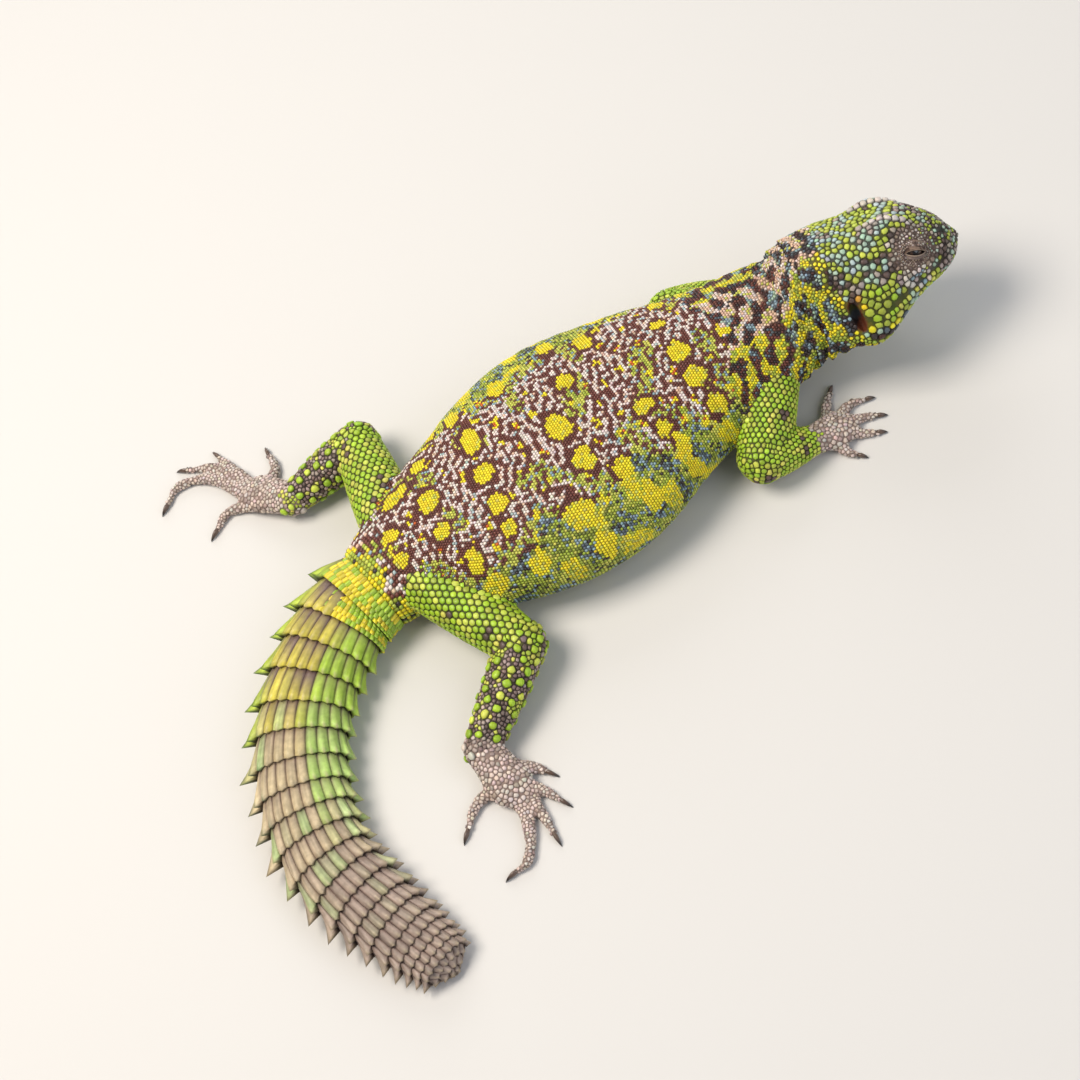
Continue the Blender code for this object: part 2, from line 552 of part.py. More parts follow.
def digit_rings(points, radii, sides=DIGIT_SIDES):
    """Rings along a digit, which lies on the ground and tapers to a blunt tip."""
    count = 2 * (len(points) - 1) + 1
    keys = np.linspace(0, 1, len(points))
    at = np.linspace(0, 1, count)
    plan = through(keys, points, at)
    width = np.interp(at, [0, 0.55, 1], radii)
    along = np.gradient(plan, axis=0)
    along /= np.linalg.norm(along, axis=1)[:, None]
    angles = angles_round(sides)
    rings = []
    for point, radius, (dx, dy) in zip(plan, width, along):
        centre = np.array([*point, radius * DIGIT_LIFT])
        ring = centre + np.cos(angles)[:, None] * np.array([-dy, dx, 0]) * radius \
            + np.sin(angles)[:, None] * np.array([0, 0, 1.0]) * radius
        ring[:, 2] = np.maximum(ring[:, 2], 0)
        rings.append(ring)
    return rings


def build_claw(name, points, kind):
    """A curved claw that meets the flat end of its digit and bends down to the ground."""
    last, before = np.array(points[-1]), np.array(points[-2])
    heading = unit(last - before)
    base = DIGIT_RADII[kind][2] * DIGIT_LIFT
    length = CLAW_LENGTH[kind]
    angles = angles_round(6)
    rings = []
    for part, share in CLAW_RINGS:
        bend = math.radians(CLAW_DROP) * part
        forward = np.array([*heading, 0]) * math.cos(bend) - np.array([0, 0, 1.0]) * math.sin(bend) * CLAW_SLOPE
        centre = np.array([*last, base]) + forward * (GAP / MM + length * part)
        ring = centre + np.cos(angles)[:, None] * np.array([-heading[1], heading[0], 0]) * base * share * CLAW_THIN \
            + np.sin(angles)[:, None] * np.array([0, 0, 1.0]) * base * share
        ring[:, 2] = np.maximum(ring[:, 2], 0.02)
        rings.append(ring)
    new_object(name, finished(skin_rings(rings), name), "claw")


def build_limb(limb):
    """Three lengths of a limb, parted at its joints, the first cut to the trunk's side, the last with digits."""
    joints, radii, names = limb["joints"], limb["radii"], limb["names"]
    planes = [joint_plane(joints[i], joints[i + 1], joints[i + 2]) for i in range(2)]
    angles = angles_round(TRUNK_SIDES)
    for i, name in enumerate(names):
        kind = name.split("_")[0]
        start, end = joints[i], joints[i + 1]
        flats = (LIMB_FLAT, LIMB_FLAT if i < 2 else PALM_FLAT)
        form = skin_rings(capsule_rings(start, end, radii[i:i + 2], flats, LIMB_SWELL[i]))
        if i < 2:
            cut_by_plane(form, np.array(end) - planes[i] * GAP / MM / 2, planes[i])
        if i > 0:
            cut_by_plane(form, np.array(start) + planes[i - 1] * GAP / MM / 2, -planes[i - 1])
        body = finished(form, name)
        if i < 2:
            cutter = finished(skin_rings([trunk_ring(x, angles, 0.3)[0]
                                          for x in np.linspace(TRUNK_X[0], TRUNK_X[-1], TRUNK_RINGS)]), "cutter")
            body = combine(body, [cutter], "DIFFERENCE")
        if i == 2:
            digits = [finished(skin_rings(digit_rings(points, DIGIT_RADII[kind])), "digit")
                      for points in DIGITS[name]]
            body = combine(body, digits, "UNION")
            for number, points in enumerate(DIGITS[name], 1):
                build_claw(f"claw_{name}_{number}", points, kind)
        new_object(name, body, "pale_skin" if i == 2 else "green_skin")


def build():
    for item in list(bpy.data.objects):
        bpy.data.objects.remove(item)
    build_torso()
    build_neck()
    build_head()
    build_tail()
    for limb in LIMBS.values():
        build_limb(limb)


build()
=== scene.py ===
import math
import random

import bmesh
import bpy
import numpy as np
from mathutils import Matrix, Vector
from mathutils.bvhtree import BVHTree
from mathutils.kdtree import KDTree


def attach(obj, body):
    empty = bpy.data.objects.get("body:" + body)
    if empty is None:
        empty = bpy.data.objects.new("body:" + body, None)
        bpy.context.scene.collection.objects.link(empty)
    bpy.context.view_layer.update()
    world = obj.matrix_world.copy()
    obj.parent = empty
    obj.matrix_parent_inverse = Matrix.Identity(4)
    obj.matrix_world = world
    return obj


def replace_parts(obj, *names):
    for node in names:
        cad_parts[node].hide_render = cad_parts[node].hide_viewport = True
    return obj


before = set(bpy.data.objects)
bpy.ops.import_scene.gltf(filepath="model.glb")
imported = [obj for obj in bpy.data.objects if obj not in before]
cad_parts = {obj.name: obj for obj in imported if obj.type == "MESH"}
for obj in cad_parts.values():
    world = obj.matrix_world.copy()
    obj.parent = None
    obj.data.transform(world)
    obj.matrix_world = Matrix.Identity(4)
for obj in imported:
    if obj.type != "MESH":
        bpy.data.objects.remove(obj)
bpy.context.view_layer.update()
print("frame loaded:", len(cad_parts), "nodes")

mm = 0.001
middle = np.array([14.0, 2.19, 0.0])  # mm, from the drawing's zero under the trunk to the animal's middle
sunk = 0.35  # mm that the skin lies inside the solids, so that its scales come out level with them

# sizes, in millimetres
trunk = {
    "x": [-42.7, -34, -24, -8, 8, 24, 42, 58, 70, 78],
    "y": [15.5, 17.3, 18.0, 16.9, 16.8, 18.0, 19.2, 19.3, 19.2, 18.6],
    "z": [8.6, 9.5, 10.5, 11.5, 12.0, 12.3, 12.5, 12.5, 13.0, 13.8],
    "wide": [12.8, 15.5, 21.0, 29.3, 33.8, 33.9, 28.2, 22.7, 19.4, 18.4],
    "up": [9.0, 10.8, 12.4, 14.5, 16.0, 16.2, 15.6, 14.5, 13.4, 12.4],
    "down": [9.3, 10.3, 11.5, 13.0, 13.6, 13.8, 13.8, 13.4, 12.6, 11.0],
    "square": 2.25,
}
neck = {"folds": 4, "foldDepth": 0.05, "waist": 0.05, "nape": (3.8, 0.62, 0.35), "throat": (2.6, 0.9, 0.3)}
head = {
    "at": (107.5, 9.4, 25.1), "yaw": -9.5, "pitch": 8.0, "roll": -26.5,
    "x": [-15.0, -10.5, -5.5, 0.0, 5.0, 9.0, 12.8, 15.8, 17.8, 18.8],
    "level": [-2.6, -3.2, -3.6, -3.6, -3.2, -2.9, -2.7, -2.6, -2.4, -2.2],
    "wide": [14.4, 15.3, 15.6, 14.4, 12.5, 11.0, 9.2, 7.1, 4.7, 2.4],
    "top": [16.6, 15.6, 14.8, 14.6, 14.1, 12.5, 9.3, 6.2, 2.6, 0.3],
    "low": [-11.4, -11.2, -10.8, -10.3, -9.6, -8.9, -8.2, -7.2, -5.8, -4.3],
    "square": 2.3,
    "forms": [  # centre, reach and height of each swelling or hollow, on both sides
        ((4.5, 7.9, 11.6), (4.4, 2.2, 2.4), 2.0), ((-12.0, 7.5, 11.5), (6.0, 4.5, 3.5), 1.6),
        ((3.0, 0.0, 14.2), (5.0, 3.4, 2.5), -0.6), ((5.0, 5.8, 12.8), (4.5, 1.1, 1.4), 0.7),
        ((8.6, 10.0, 3.8), (3.0, 2.6, 2.8), 0.9), ((8.0, 11.2, 0.2), (4.4, 1.6, 1.3), 0.6),
        ((12.6, 5.8, 7.2), (3.2, 1.4, 1.4), 0.5), ((-4.0, 11.0, 8.0), (3.5, 3.0, 2.6), -0.7),
        ((13.2, 7.4, 3.8), (1.9, 2.2, 2.6), -0.7), ((-3.5, 14.6, 0.5), (4.2, 3.0, 4.0), 0.7),
        ((-10.5, 15.0, -1.4), (1.7, 2.5, 3.8), -1.0), ((-8.5, 11.0, -9.6), (6.0, 4.4, 3.4), 4.4),
        ((16.6, 3.8, 2.6), (1.6, 1.6, 1.6), 0.5),
    ],
    "mouthBack": -4.0,
}
eye = {"at": (8.2, 8.6, 3.6), "radius": 2.8, "room": 0.15, "slit": (2.4, 0.75, 0.45), "tilt": -29.0}
ear = {"at": (-10.6, 14.9, -2.2), "size": (1.25, 3.2, 4.2)}
nostril = {"at": (17.1, 4.2, 2.7), "size": (0.75, 1.2, 0.6)}
tail = {
    "path": [(-42.7, 15.5), (-49.8, 14.1), (-58.3, 9.6), (-72.7, -4.2), (-81.5, -23.9), (-83.2, -44.0),
             (-77.2, -64.0), (-69.2, -83.0), (-68.2, -85.8)],
    "at": [0, 10, 26, 47, 68, 88, 106, 118, 125, 129],
    "wide": [12.8, 13.0, 12.7, 12.2, 11.4, 10.3, 9.2, 7.9, 6.3, 4.7],
    "tall": [9, 8.2, 7.3, 6.7, 6.2, 5.8, 5.2, 4.5, 3.8, 2.8],
    "sink": 0.75,
    "whorls": [7, 6.8, 7.4, 8.1, 8.6, 7.8, 8.1, 7.7, 6.9, 7, 7.2, 7, 6.5, 6.3, 5.3, 5, 3.7, 3.2, 2.7, 2.2],
    "tip": ((1.6, 0.72), (2.4, 0.35)),
}
limbs = {
    "frontRight": {"joints": [(70, 4, 13), (58.2, -10.8, 8.4), (71, -11.4, 4.2), (78.2, -11, 2.4)],
                   "radii": [7.2, 6.7, 4.1, 5.4], "end": "handRight"},
    "frontLeft": {"joints": [(70, 30, 13), (60, 42, 10.4), (74.6, 42.6, 4.6), (81.6, 40, 2.4)],
                  "radii": [7.0, 6.0, 4.1, 5.4], "end": "handLeft"},
    "hindRight": {"joints": [(-29, 7, 11.5), (-17, -21.8, 9), (-38.3, -38.8, 5), (-36.4, -50.2, 2.7)],
                  "radii": [8.6, 6.4, 4.7, 6.0], "end": "footRight"},
    "hindLeft": {"joints": [(-30.5, 27, 11.5), (-28.6, 58.4, 9), (-50.6, 56.8, 5), (-58.6, 66.4, 2.7)],
                 "radii": [8.6, 6.4, 4.7, 6.0], "end": "footLeft"},
}
limbShape = {"flat": 0.93, "palmFlat": 0.45, "swell": (0.05, 0.08, 0.0)}
digits = {
    "handRight": [[(77.4, -6.2), (80.4, -1.8), (82.8, 0.8)], [(79.8, -7.6), (85, -6), (89, -7)],
                  [(80.6, -10.2), (85.6, -11.4), (89, -13)], [(79.6, -12.8), (83.6, -15.8), (86.4, -17.2)],
                  [(75.6, -14), (77.4, -18.2), (79.2, -20.2)]],
    "handLeft": [[(81.6, 35), (84.8, 32.6), (88, 31.4)], [(84.2, 36.4), (89, 34.6), (93.2, 34)],
                 [(85.6, 38.4), (90.8, 37.8), (95, 37.6)], [(85, 40.8), (89.6, 41.6), (93.4, 42.4)],
                 [(82, 42.2), (85.2, 44.4), (88, 46)]],
    "footRight": [[(-33, -46.2), (-29.6, -48.6), (-27.2, -51.6)],
                  [(-33.2, -51.8), (-29.8, -56.2), (-27.6, -60.2)],
                  [(-34.6, -53.6), (-33.2, -60.2), (-33, -67.2)],
                  [(-36.8, -54), (-37.8, -63), (-41.4, -69.4), (-45.6, -70.2)],
                  [(-40, -48.6), (-46.2, -49.4), (-51.2, -54.4)]],
    "footLeft": [[(-55.6, 67.4), (-51.6, 72.2), (-51.6, 78)], [(-58.8, 70.4), (-61.8, 79), (-64.2, 86.4)],
                 [(-60.6, 70.8), (-65.4, 82.2), (-74, 88)],
                 [(-62.4, 69.6), (-69, 80.6), (-77.6, 84.2), (-82.8, 80.6)],
                 [(-61.6, 64.6), (-68.4, 67.4), (-73.6, 64.2)]],
}
digitShape = {"hand": (1.75, 1.45, 1.05), "foot": (1.9, 1.6, 1.1), "clawHand": 2.4, "clawFoot": 3.6,
              "drop": 25.0}


# small helpers
def unit(v):
    # each vector divided by its own length
    v = np.asarray(v, float)
    return v / np.maximum(np.linalg.norm(v, axis=-1, keepdims=True), 1e-12)


def runAlong(points):
    # length run from the first point of a line to each of its points
    return np.concatenate([[0], np.cumsum(np.linalg.norm(np.diff(points, axis=0), axis=1))])


def circle(count):
    # that many angles, evenly round a whole turn
    return np.linspace(0, 2 * math.pi, count + 1)[:-1]


def hermite(p):
    # weights of a cubic at share p: of its start, of the slope there, of its end and of the slope there
    return 2 * p**3 - 3 * p**2 + 1, p**3 - 2 * p**2 + p, 3 * p**2 - 2 * p**3, p**3 - p**2


def through(keys, values, at):
    # cubic Hermite through the values, each slope being the difference of the neighbours on both sides
    keys, values, at = np.asarray(keys, float), np.asarray(values, float), np.asarray(at, float)
    slopes = np.gradient(values, keys, axis=0)
    first = np.clip(np.searchsorted(keys, at, side="right") - 1, 0, len(keys) - 2)
    span = keys[first + 1] - keys[first]
    p = (at - keys[first]) / span
    if values.ndim == 2:
        span, p = span[..., None], p[..., None]
    start, leave, end, arrive = hermite(p)
    return (start * values[first] + leave * span * slopes[first]
            + end * values[first + 1] + arrive * span * slopes[first + 1])


def oval(a, wide, up, down, square):
    # superellipse: across = wide * cos(a)^(2/square), rise = up or down * sin(a)^(2/square), signs kept
    c, s = np.cos(a), np.sin(a)
    across = np.sign(c) * np.abs(c) ** (2 / square)
    rise = np.sign(s) * np.abs(s) ** (2 / square)
    return across * wide, rise * np.where(rise > 0, up, down)


def hexLinear(code):
    # sRGB hex to linear: c / 12.92 under 0.04045, else ((c + 0.055) / 1.055) ^ 2.4
    c = np.array([int(code[i:i + 2], 16) for i in (1, 3, 5)]) / 255
    return np.where(c <= 0.04045, c / 12.92, ((c + 0.055) / 1.055) ** 2.4)


def palette(**codes):
    # the linear colour of each named sRGB hex code
    return {name: hexLinear(code) for name, code in codes.items()}


def valueNoise(points, size, seed):
    # trilinear blend of hashed values, 0 to 1, at the corners of a lattice whose cells are size mm
    q = np.asarray(points, float) / size + 100.5
    base = np.floor(q).astype(np.int64)
    f = q - base
    f = f * f * (3 - 2 * f)
    total = np.zeros(len(q))
    for corner in range(8):
        bit = np.array([corner & 1, corner >> 1 & 1, corner >> 2 & 1])
        x, y, z = ((base + bit) * (73856093, 19349663, 83492791)).T
        mixed = x ^ y ^ z ^ (seed * 2654435761)
        mixed = (mixed ^ (mixed >> 13)) * 1274126177 & 0x7FFFFFFF
        weight = np.prod(np.where(bit, f, 1 - f), axis=1)
        total += weight * ((mixed >> 7) % 65536) / 65535
    return total


def wobble(points, size, seed):
    # the same noise about zero, from -0.5 to 0.5
    return valueNoise(points, size, seed) - 0.5


def waveField(u, v, period, stretch, seed, count=70):
    # sum of count plane waves of about one wavelength, in drawn directions: zero crossings make a maze pattern.
    # stretch above 1 draws the maze out along v
    draw = np.random.default_rng(seed)
    turn = draw.uniform(0, 2 * math.pi, count)
    wave = 2 * math.pi / (period * draw.normal(1, 0.13, count))
    phase = draw.uniform(0, 2 * math.pi, count)
    kx, ky = np.cos(turn) * wave, np.sin(turn) * wave / stretch
    total = np.zeros(len(u))
    for i in range(count):
        total += np.cos(kx[i] * u + ky[i] * v + phase[i])
    return total / math.sqrt(count / 2)


def step01(low, high, x):
    # smoothstep from 0 at low to 1 at high
    p = np.clip((x - low) / (high - low), 0, 1)
    return p * p * (3 - 2 * p)


def mix(a, b, share):
    # a moved towards b by a share of 0 to 1 for each point
    return a + (b - a) * np.asarray(share)[..., None]


def place(points):
    # from drawing millimetres to the frame's metres
    return (np.asarray(points) - middle) * mm


def onSide(spot, side):
    # a spot given on the head's left, there (side 1) or mirrored to its right (side -1)
    return np.array(spot) * (1, side, 1)


# the shapes
def trunkPoint(x, a, grow=0.0):
    # centre(x) + across * left + rise * up, with left square to the axis' direction on
    # the ground plan; z kept over 0
    x = np.asarray(x, float)
    low, high = np.maximum(x - 0.5, trunk["x"][0]), np.minimum(x + 0.5, trunk["x"][-1])
    slope = (through(trunk["x"], trunk["y"], high) - through(trunk["x"], trunk["y"], low)) / (high - low)
    left = unit(np.stack([-slope, np.ones_like(slope), np.zeros_like(slope)], -1))
    wide, up, down = (through(trunk["x"], trunk[k], x) + grow for k in ("wide", "up", "down"))
    across, rise = oval(a, wide, up, down, trunk["square"])
    centre = np.stack([x, through(trunk["x"], trunk["y"], x), through(trunk["x"], trunk["z"], x)], -1)
    point = centre + across[..., None] * left
    point[..., 2] = np.maximum(point[..., 2] + rise, -grow)
    return point


def headTurn():
    # rows forward, left and up of the head: rolled, then pitched up, then turned
    yaw, pitch, roll = np.radians([head["yaw"], head["pitch"], head["roll"]])
    ahead = np.array([math.cos(yaw) * math.cos(pitch), math.sin(yaw) * math.cos(pitch), math.sin(pitch)])
    level = np.array([-math.sin(yaw), math.cos(yaw), 0])
    rise = np.cross(ahead, level)
    return np.array([ahead, level * math.cos(roll) + rise * math.sin(roll),
                     rise * math.cos(roll) - level * math.sin(roll)])


headAxes = headTurn()


def headPlace(local):
    # from the head's own axes to the drawing: times its rows, plus its place
    return np.asarray(local, float) @ headAxes + np.array(head["at"])


def headLocal(point):
    # from the drawing to the head's own axes
    return (np.asarray(point, float) - np.array(head["at"])) @ headAxes.T


def headPoint(x, a, grow=0.0):
    # oval about the mouth line in the head's own axes, pushed outwards by a Gaussian for each form, by a lip
    # roll and by a groove on the mouth line
    level, wide, top, low = (through(head["x"], head[k], x) for k in ("level", "wide", "top", "low"))
    across, rise = oval(a, wide + grow, top - level + grow, level - low + grow, head["square"])
    ring = np.stack([x + np.zeros_like(across), across, level + rise], -1)
    middleLine = np.stack([x, np.zeros_like(x), (top + low) / 2], -1)
    outward = ring - middleLine
    outward = outward / np.maximum(np.linalg.norm(outward, axis=-1, keepdims=True), 0.5)
    push = np.zeros(ring.shape[:-1])
    for (fx, fy, fz), reach, height in head["forms"]:
        for side in ((1, -1) if fy else (1,)):
            off = (ring - np.array([fx, fy * side, fz])) / np.array(reach)
            push += height * np.exp(-0.5 * (off**2).sum(-1))
    fade = np.clip((x - head["mouthBack"]) / 3, 0, 1)
    fromMouth = np.abs(np.sin(a)) * 57.3
    push += fade * (0.3 * np.exp(-((fromMouth - 9) / 6) ** 2) - 0.6 * np.exp(-(fromMouth / 4) ** 2))
    return headPlace(ring + outward * push[..., None])


neckStart = trunkPoint(np.full(90, trunk["x"][-1]), circle(90)).mean(0)
neckGoal = headPoint(np.full(90, head["x"][0]), circle(90)).mean(0)
neckReach = float(np.linalg.norm(neckGoal - neckStart))


def neckPoint(p, a, grow=0.0):
    # cubic Hermite from the trunk's front ring to the head's rear ring, drawn in by the folds, lifted at the
    # nape and dropped at the throat by Gaussians of p
    ones = np.ones_like(p)
    slope = (trunk["y"][-1] - through(trunk["x"], trunk["y"], trunk["x"][-1] - 0.5)) / 0.5
    out = unit(np.array([1, slope, 0]))
    start, goal = trunkPoint(ones * trunk["x"][-1], a, grow), headPoint(ones * head["x"][0], a, grow)
    atStart, leave, atEnd, arrive = hermite(p[..., None])
    leave, arrive = leave * neckReach * out, arrive * neckReach * headAxes[0]
    ring, centre = (atStart * first + atEnd * last + leave + arrive
                    for first, last in ((start, goal), (neckStart, neckGoal)))
    bow = np.sin(math.pi * p)
    wander = 0.9 * np.sin(2 * a + 0.6) + 0.7 * np.sin(5 * a)
    fold = 1 - neck["waist"] * bow**2
    fold = fold - neck["foldDepth"] * bow * np.sin(2 * math.pi * neck["folds"] * p + wander)
    point = centre + (ring - centre) * fold[..., None]
    lift = np.where(np.sin(a) > 0, neck["nape"][0] * np.exp(-((p - neck["nape"][1]) / neck["nape"][2]) ** 2),
                    neck["throat"][0] * np.exp(-((p - neck["throat"][1]) / neck["throat"][2]) ** 2))
    point[..., 2] += lift * bow * np.sin(a)
    return point


trunkLong = trunk["x"][-1] - trunk["x"][0]
headLong = head["x"][-1] - head["x"][0]
bodyLong = trunkLong + neckReach + headLong


def bodyPoint(t, a, grow=0.0):
    # trunk, neck or head, by the length t in mm from the root of the tail
    t, a = np.broadcast_arrays(np.asarray(t, float), np.asarray(a, float))
    x = np.clip(t, 0, trunkLong) + trunk["x"][0]
    p = np.clip((t - trunkLong) / neckReach, 0, 1)
    h = np.clip(t - trunkLong - neckReach, 0, headLong) + head["x"][0]
    onNeck, onHead = (t > trunkLong)[..., None], (t > trunkLong + neckReach)[..., None]
    behind = np.where(onNeck, neckPoint(p, a, grow), trunkPoint(x, a, grow))
    return np.where(onHead, headPoint(h, a, grow), behind)


whorlEnds = np.concatenate([[0], np.cumsum(tail["whorls"])])  # length at each whorl's front and at the tip


def tailAxis():
    # the tail's path on the ground plan, smoothed and run at even lengths, as a function of the length
    keys = runAlong(tail["path"])
    plan = through(keys, tail["path"], np.linspace(0, keys[-1], 400))
    run = runAlong(plan)
    run *= sum(tail["whorls"]) / run[-1] + 0.03
    return lambda at: np.stack([np.interp(at, run, plan[:, 0]), np.interp(at, run, plan[:, 1])], -1)


tailPlan = tailAxis()


def tailFrame(length):
    # centre of the section, left seen towards the head, half-width and half-height
    length = np.asarray(length, float)
    step = np.clip(length, 0.2, 1.5)
    ahead = tailPlan(length + step) - tailPlan(np.maximum(length - step, 0))
    ahead = unit(np.concatenate([ahead, np.zeros(ahead.shape[:-1] + (1,))], -1))
    wide, tall = through(tail["at"], tail["wide"], length), through(tail["at"], tail["tall"], length)
    centre = np.concatenate([tailPlan(length), (tall - tail["sink"])[..., None]], -1)
    return centre, np.cross(ahead, (0, 0, 1)), wide, tall


def tailPoint(length, a, share=1.0, grow=0.0):
    # centre + across * left + rise * up on the section's oval, shrunk to a share of it; z kept over 0
    centre, left, wide, tall = tailFrame(length)
    across, rise = oval(a, wide * share + grow, tall * share + grow, tall + grow, trunk["square"])
    point = centre + across[..., None] * left
    point[..., 2] = np.maximum(point[..., 2] + rise, -grow)
    return point


def capsule(start, end, radii, flats, swell, rows, sides, grow):
    # rings square to the line between two joints, rounded at both ends; radius runs
    # from the first to the second
    along = unit(np.subtract(end, start))
    left = unit(np.cross((0, 0, 1), along))
    up = np.cross(along, left)
    reach = float(np.linalg.norm(np.subtract(end, start)))
    turn = np.radians(np.linspace(-84, 0, 8)[:-1])
    p = np.linspace(0, 1, rows)
    middleRadius = (radii[0] + (radii[1] - radii[0]) * p) * (1 + swell * np.sin(math.pi * p))
    distance = np.concatenate([np.sin(turn) * radii[0], p * reach, reach - np.sin(turn[::-1]) * radii[1]])
    radius = np.concatenate([np.cos(turn) * radii[0], middleRadius, np.cos(turn[::-1]) * radii[1]]) + grow
    flat = np.interp(distance, (0, reach), flats)
    a = circle(sides)
    ring = (np.asarray(start, float) + distance[:, None, None] * along
            + (np.cos(a)[None, :, None] * left * radius[:, None, None])
            + (np.sin(a)[None, :, None] * up * (radius * flat)[:, None, None]))
    ring[..., 2] = np.maximum(ring[..., 2], -grow)
    return ring


def limbRings(limb, i, rows=26, sides=40):
    # one length of a limb as rings: 0 the upper one, 1 the lower one, 2 the palm or sole
    flats = (limbShape["flat"], limbShape["flat"] if i < 2 else limbShape["palmFlat"])
    start, end = limb["joints"][i:i + 2]
    return capsule(start, end, limb["radii"][i:i + 2], flats, limbShape["swell"][i], rows, sides, -sunk)


def digitTube(points, radii, grow, rows=22, sides=18):
    # rings along the digit's path on the ground, swollen a little at each joint, rounded at the tip
    keys = np.linspace(0, 1, len(points))
    p = np.linspace(0, 1, rows)
    plan = through(keys, points, p)
    width = np.interp(p, [0, 0.55, 1], radii) * (1 + 0.07 * np.cos(p * 6 * math.pi)) + grow
    along = unit(np.gradient(plan, axis=0))
    tip = np.radians([35, 65, 84])
    plan = np.concatenate([plan, plan[-1] + np.sin(tip)[:, None] * along[-1] * width[-1] * 0.3])
    along = np.concatenate([along, np.repeat(along[-1:], 3, 0)])
    width = np.concatenate([width, np.cos(tip) * width[-1]])
    height = np.concatenate([width[:rows], np.full(3, width[rows - 1])])
    a = circle(sides)
    centre = np.concatenate([plan, (height * 0.86)[:, None]], -1)
    side = np.stack([-along[:, 1], along[:, 0], np.zeros(len(along))], -1)
    ring = (centre[:, None] + np.cos(a)[None, :, None] * side[:, None] * width[:, None, None]
            + np.sin(a)[None, :, None] * np.array([0, 0, 1.0]) * width[:, None, None])
    ring[..., 2] = np.maximum(ring[..., 2], -grow)
    return ring


# mesh building
def gridFaces(rows, sides):
    # quads of a grid closed round its sides
    i, j = np.meshgrid(np.arange(rows - 1), np.arange(sides), indexing="ij")
    k = (j + 1) % sides
    return np.stack([i * sides + j, i * sides + k, (i + 1) * sides + k, (i + 1) * sides + j], -1).reshape(-1, 4)


def turnOutwards(mesh):
    # turns every face of a closed mesh to the outside
    form = bmesh.new()
    form.from_mesh(mesh)
    bmesh.ops.recalc_face_normals(form, faces=form.faces)
    form.to_mesh(mesh)
    form.free()


def tubeMesh(name, grid):
    # a closed tube: rings joined by quads, and a flat face at each end
    rows, sides = grid.shape[:2]
    faces = gridFaces(rows, sides).tolist()
    faces.append(list(range(sides))[::-1])
    faces.append(list(range((rows - 1) * sides, rows * sides)))
    mesh = bpy.data.meshes.new(name)
    mesh.from_pydata(grid.reshape(-1, 3).tolist(), [], faces)
    turnOutwards(mesh)
    return mesh


def newObject(name, data):
    # an object in the scene
    item = bpy.data.objects.new(name, data)
    bpy.context.scene.collection.objects.link(item)
    return item


def newPiece(name, mesh, material):
    # a visible piece with its one material, on the only body
    item = newObject(name, mesh)
    mesh.materials.clear()
    mesh.materials.append(material)
    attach(item, "root")
    return item


def stored(items, key, kind=np.float32):
    # what Blender holds under that key, as rows of three
    flat = np.empty(len(items) * 3, kind)
    items.foreach_get(key, flat)
    return flat.reshape(-1, 3)


def coordinates(mesh):
    # its points, in metres
    return stored(mesh.vertices, "co").astype(float)


def paint(mesh, colours):
    # one linear colour for each vertex, in the attribute that the materials read
    layer = mesh.color_attributes.new("tint", "FLOAT_COLOR", "POINT")
    rgba = np.ones((len(mesh.vertices), 4), np.float32)
    rgba[:, :3] = np.clip(colours, 0, 1)
    layer.data.foreach_set("color", rgba.ravel())


# materials
def addNode(tree, kind, settings=None, links=None):
    # a node of that kind: settings are properties or input values by name, links are
    # input name to output socket
    node = tree.nodes.new(kind)
    for key, value in (settings or {}).items():
        if key in node.inputs:
            node.inputs[key].default_value = value
        else:
            setattr(node, key, value)
    for key, socket in (links or {}).items():
        tree.links.new(socket, node.inputs[key])
    return node


def ranged(tree, noise, low, high):
    # a noise, which lies mostly from 0.3 to 0.7, spread from low to high
    ends = {"From Min": 0.3, "From Max": 0.7, "To Min": low, "To Max": high}
    return addNode(tree, "ShaderNodeMapRange", ends, {"Value": noise}).outputs["Result"]


def tintedMaterial(name, look):
    # the painted tint, lighter and darker by mottleDepth, over a bump 0.3 of its grain deep; the roughness
    # wanders by 0.08 with that grain. Sizes are in millimetres
    material = bpy.data.materials.new(name)
    material.use_nodes = True
    tree = material.node_tree
    shader = tree.nodes["Principled BSDF"]
    for key in ("Roughness", "IOR", "Coat Weight", "Coat Roughness"):
        if key in look:
            shader.inputs[key].default_value = look[key]
    where = addNode(tree, "ShaderNodeTexCoord").outputs["Object"]
    tint = addNode(tree, "ShaderNodeAttribute", {"attribute_name": "tint"}).outputs["Color"]
    mottle = addNode(tree, "ShaderNodeTexNoise", {"Scale": 1 / (look["mottle"] * mm), "Detail": 3.0},
                     {"Vector": where}).outputs["Fac"]
    value = ranged(tree, mottle, 1 - look["mottleDepth"], 1 + look["mottleDepth"])
    broken = addNode(tree, "ShaderNodeHueSaturation", None, {"Color": tint, "Value": value}).outputs["Color"]
    tree.links.new(broken, shader.inputs["Base Color"])
    grain = addNode(tree, "ShaderNodeTexNoise", {"Scale": 1 / (look["grain"] * mm), "Detail": 2.0},
                    {"Vector": where}).outputs["Fac"]
    bump = addNode(tree, "ShaderNodeBump", {"Strength": look["bump"], "Distance": look["grain"] * mm * 0.3},
                   {"Height": grain}).outputs["Normal"]
    tree.links.new(bump, shader.inputs["Normal"])
    rough = ranged(tree, grain, look["Roughness"] - 0.08, look["Roughness"] + 0.08)
    tree.links.new(rough, shader.inputs["Roughness"])
    return material


# beta-keratin scales, grown and dry: a satin film that gives each bead a small soft highlight
beadKeratin = tintedMaterial("beadKeratin", {"Roughness": 0.46, "IOR": 1.54, "mottle": 0.9, "mottleDepth": 0.10,
                                             "grain": 0.25, "bump": 0.35})
# soft hide between the scales: matt and dark, with fine creases
foldedHide = tintedMaterial("foldedHide", {"Roughness": 0.72, "IOR": 1.45, "mottle": 2.0, "mottleDepth": 0.18,
                                           "grain": 0.5, "bump": 0.6})
